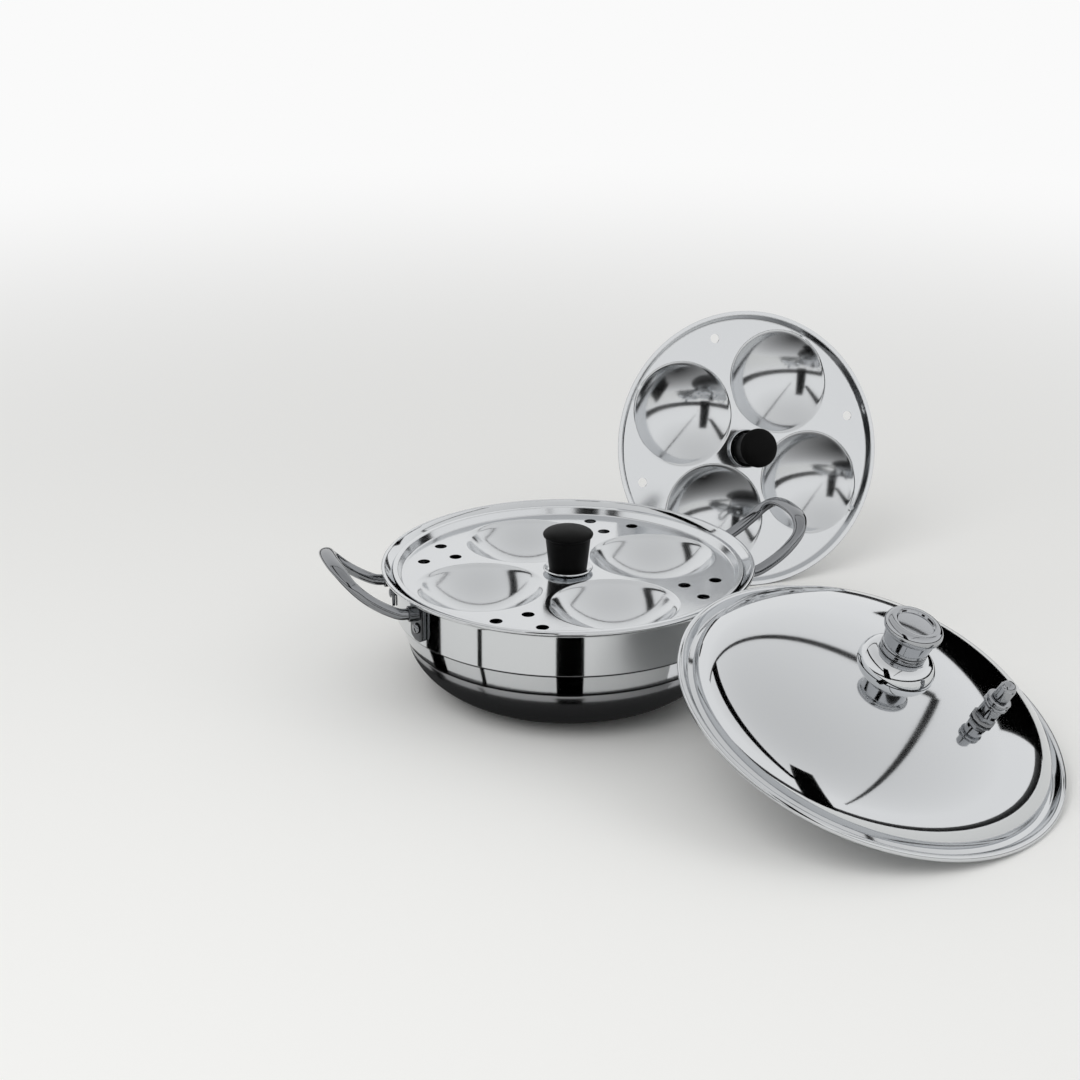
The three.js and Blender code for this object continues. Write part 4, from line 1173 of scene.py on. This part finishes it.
def dark_ring(name, profile, levels, place=IDENTITY):
    """A dark ring that only reflections see, with its brightness at its profile's first and last point."""
    bm = spun(profile, steps=96)
    bmesh.ops.transform(bm, matrix=Matrix.Scale(MM, 4) @ place, verts=bm.verts)
    mesh = bpy.data.meshes.new(name)
    bm.to_mesh(mesh)
    bm.free()
    material, tree = new_material(name)
    where = add(tree, "ShaderNodeTexCoord").outputs["Object"]
    centre = place.translation * MM
    distance = add(tree, "ShaderNodeVectorMath", {"operation": "DISTANCE"}, i0=where, i1=centre)
    glow = add(
        tree,
        "ShaderNodeMapRange",
        Value=distance.outputs["Value"],
        From_Min=Vector(profile[0]).length * MM,
        From_Max=Vector(profile[-1]).length * MM,
        To_Min=levels[0],
        To_Max=levels[1],
    )
    shader = add(tree, "ShaderNodeEmission", Strength=glow.outputs[0])
    add(tree, "ShaderNodeOutputMaterial", Surface=shader.outputs[0])
    mesh.materials.append(material)
    hide_from_view(name, mesh)


def seen_directly(tree):
    """1 where the camera or a mirror looks at a surface, and 0 where light from it falls on others."""
    path = add(tree, "ShaderNodeLightPath")
    seen = add(
        tree,
        "ShaderNodeMath",
        {"operation": "MAXIMUM"},
        i0=path.outputs["Is Camera Ray"],
        i1=path.outputs["Is Glossy Ray"],
    )
    return add(
        tree,
        "ShaderNodeMath",
        {"operation": "MAXIMUM"},
        i0=seen.outputs[0],
        i1=path.outputs["Is Transmission Ray"],
    ).outputs[0]


def soft_light(name, position, target, size, power):
    """A square lamp, in metres and watts, that lights the set but isn't mirrored in it."""
    light = bpy.data.lights.new(name, "AREA")
    light.shape = "SQUARE"
    light.size = size
    light.energy = power
    lamp = bpy.data.objects.new(name, light)
    lamp.location = position
    lamp.rotation_euler = (Vector(target) - Vector(position)).to_track_quat("-Z", "Y").to_euler()
    lamp.visible_glossy = False
    bpy.context.scene.collection.objects.link(lamp)


def light_world():
    """An even pale room, whose light panels are a little dimmer overhead where something mirrors them."""
    scene = bpy.context.scene
    world = bpy.data.worlds.new("studio")
    world.use_nodes = True
    tree = world.node_tree
    tree.nodes.clear()
    where = add(tree, "ShaderNodeTexCoord").outputs["Generated"]
    upward = add(tree, "ShaderNodeSeparateXYZ", Vector=where).outputs["Z"]
    panels = add(
        tree,
        "ShaderNodeMapRange",
        Value=upward,
        From_Min=PANELS_DIM_FROM,
        From_Max=1.0,
        To_Min=1.0,
        To_Max=PANELS_OVERHEAD,
    ).outputs[0]
    level = add(tree, "ShaderNodeMix", i0=seen_directly(tree), i2=ROOM_LIGHT, i3=panels).outputs[0]
    glow = add(tree, "ShaderNodeBackground", Color=linear(BACKDROP), Strength=level)
    add(tree, "ShaderNodeOutputWorld", Surface=glow.outputs[0])
    scene.world = world
    soft_light("key", (-0.7, -0.5, 1.1), (0, 0, 0.05), size=0.9, power=5)
    soft_light("fill", (0.9, -0.9, 0.9), (0.1, -0.1, 0.05), size=0.8, power=2)


def lay_floor():
    """Matt paper that keeps the set's shadow and turns into the white backdrop further out."""
    bm = bmesh.new()
    bmesh.ops.create_grid(bm, x_segments=1, y_segments=1, size=FLOOR_HALF_WIDTH)
    mesh = bpy.data.meshes.new("floor")
    bm.to_mesh(mesh)
    bm.free()
    material, tree = new_material("pale_floor")
    where = add(tree, "ShaderNodeTexCoord").outputs["Object"]
    distance = add(tree, "ShaderNodeVectorMath", {"operation": "LENGTH"}, i0=where).outputs["Value"]
    far = add(
        tree,
        "ShaderNodeMapRange",
        {"interpolation_type": "SMOOTHSTEP"},
        Value=distance,
        From_Min=PAPER_END,
        From_Max=BACKDROP_START,
        To_Min=0.0,
        To_Max=1.0,
    ).outputs[0]
    white = add(tree, "ShaderNodeMath", {"operation": "MULTIPLY"}, i0=far, i1=seen_directly(tree))
    paper = add(tree, "ShaderNodeBsdfPrincipled", Base_Color=linear(PAPER), Specular_IOR_Level=0.0)
    backdrop = add(tree, "ShaderNodeEmission", Color=linear(BACKDROP), Strength=1.0)
    mixed = add(
        tree,
        "ShaderNodeMixShader",
        i0=white.outputs[0],
        i1=paper.outputs[0],
        i2=backdrop.outputs[0],
    )
    add(tree, "ShaderNodeOutputMaterial", Surface=mixed.outputs[0])
    mesh.materials.append(material)
    floor = bpy.data.objects.new("floor", mesh)
    bpy.context.scene.collection.objects.link(floor)


def hang_cards():
    """Dark mats, cards, battens and flags that put the dark bands into the steel."""
    mat = [(50, MAT_LIFT), (113, MAT_LIFT)]
    plate_mat = [(1, PLATE_MAT_LIFT), (230, PLATE_MAT_LIFT)]
    skyline = [(SKYLINE_RADIUS, -10), (SKYLINE_RADIUS, 330)]
    dark_ring("dark_mat", mat, levels=(0.0, 0.06))
    dark_ring("plate_mat", plate_mat, levels=(0.0, 0.8), place=PLATE_MAT_PLACE)
    dark_ring("dark_skyline", skyline, levels=(0.01, 0.1))
    above, below = WALL_CARD_SPILL
    wall_top = WALL_RADIUS, FLARE_HEIGHT + above
    wall_bottom = WALL_RADIUS, UPPER_LINE_HEIGHT - below
    taper = (BAND_RADIUS - BAND_FOOT_RADIUS) / 2
    band_top = BAND_RADIUS + taper, UPPER_LINE_HEIGHT + BAND_CARD_SPILL
    band_bottom = BAND_FOOT_RADIUS - taper, BOWL_HEIGHT - BAND_CARD_SPILL
    for name, angles in CARD_ANGLES.items():
        mirrored_card(f"{name}_wall_card", angles, wall_top, wall_bottom)
        mirrored_card(f"{name}_band_card", angles, band_top, band_bottom)
    ceiling_strip("long_batten", (-1900, 1250), (1500, 1250), width=100)
    ceiling_strip("cross_batten", (1500, 1250), (0, -3600), width=65)
    ceiling_strip("left_batten", (-1100, 1250), (-1300, -2400), width=360)
    upright_flag("right_flag", (760, 640), width=620, height=480)
    upright_flag("plate_flag", (-342, -1245), width=420, height=1500)


def make_studio():
    """A plain bright studio with a pale floor."""
    bpy.context.scene.view_settings.view_transform = "Standard"
    light_world()
    lay_floor()
    hang_cards()


def make_camera():
    """The camera that sees the set as the picture does."""
    place, right, up, ahead = camera_place()
    camera = bpy.data.cameras.new("camera")
    camera.sensor_width = SENSOR_WIDTH
    camera.lens = SENSOR_WIDTH * FOCAL_PIXELS / PICTURE
    eye = bpy.data.objects.new("camera", camera)
    eye.location = place * MM
    eye.rotation_euler = Matrix((right, up, -ahead)).transposed().to_euler()
    bpy.context.scene.collection.objects.link(eye)
    bpy.context.scene.camera = eye


make_vessel()
make_handles()
make_plate(UPPER_PLATE, UPPER_PLATE_PLACE, upper_plate_steel)
make_plate_knob(UPPER_PLATE, UPPER_PLATE_PLACE, upper_plate_steel)
make_plate(LOWER_PLATE, LOWER_PLATE_PLACE, lower_plate_steel)
make_plate_knob(LOWER_PLATE, LOWER_PLATE_PLACE, lower_plate_steel)
make_lid()
make_lid_knob()
make_whistle()
dress_nodes()
make_studio()
make_camera()
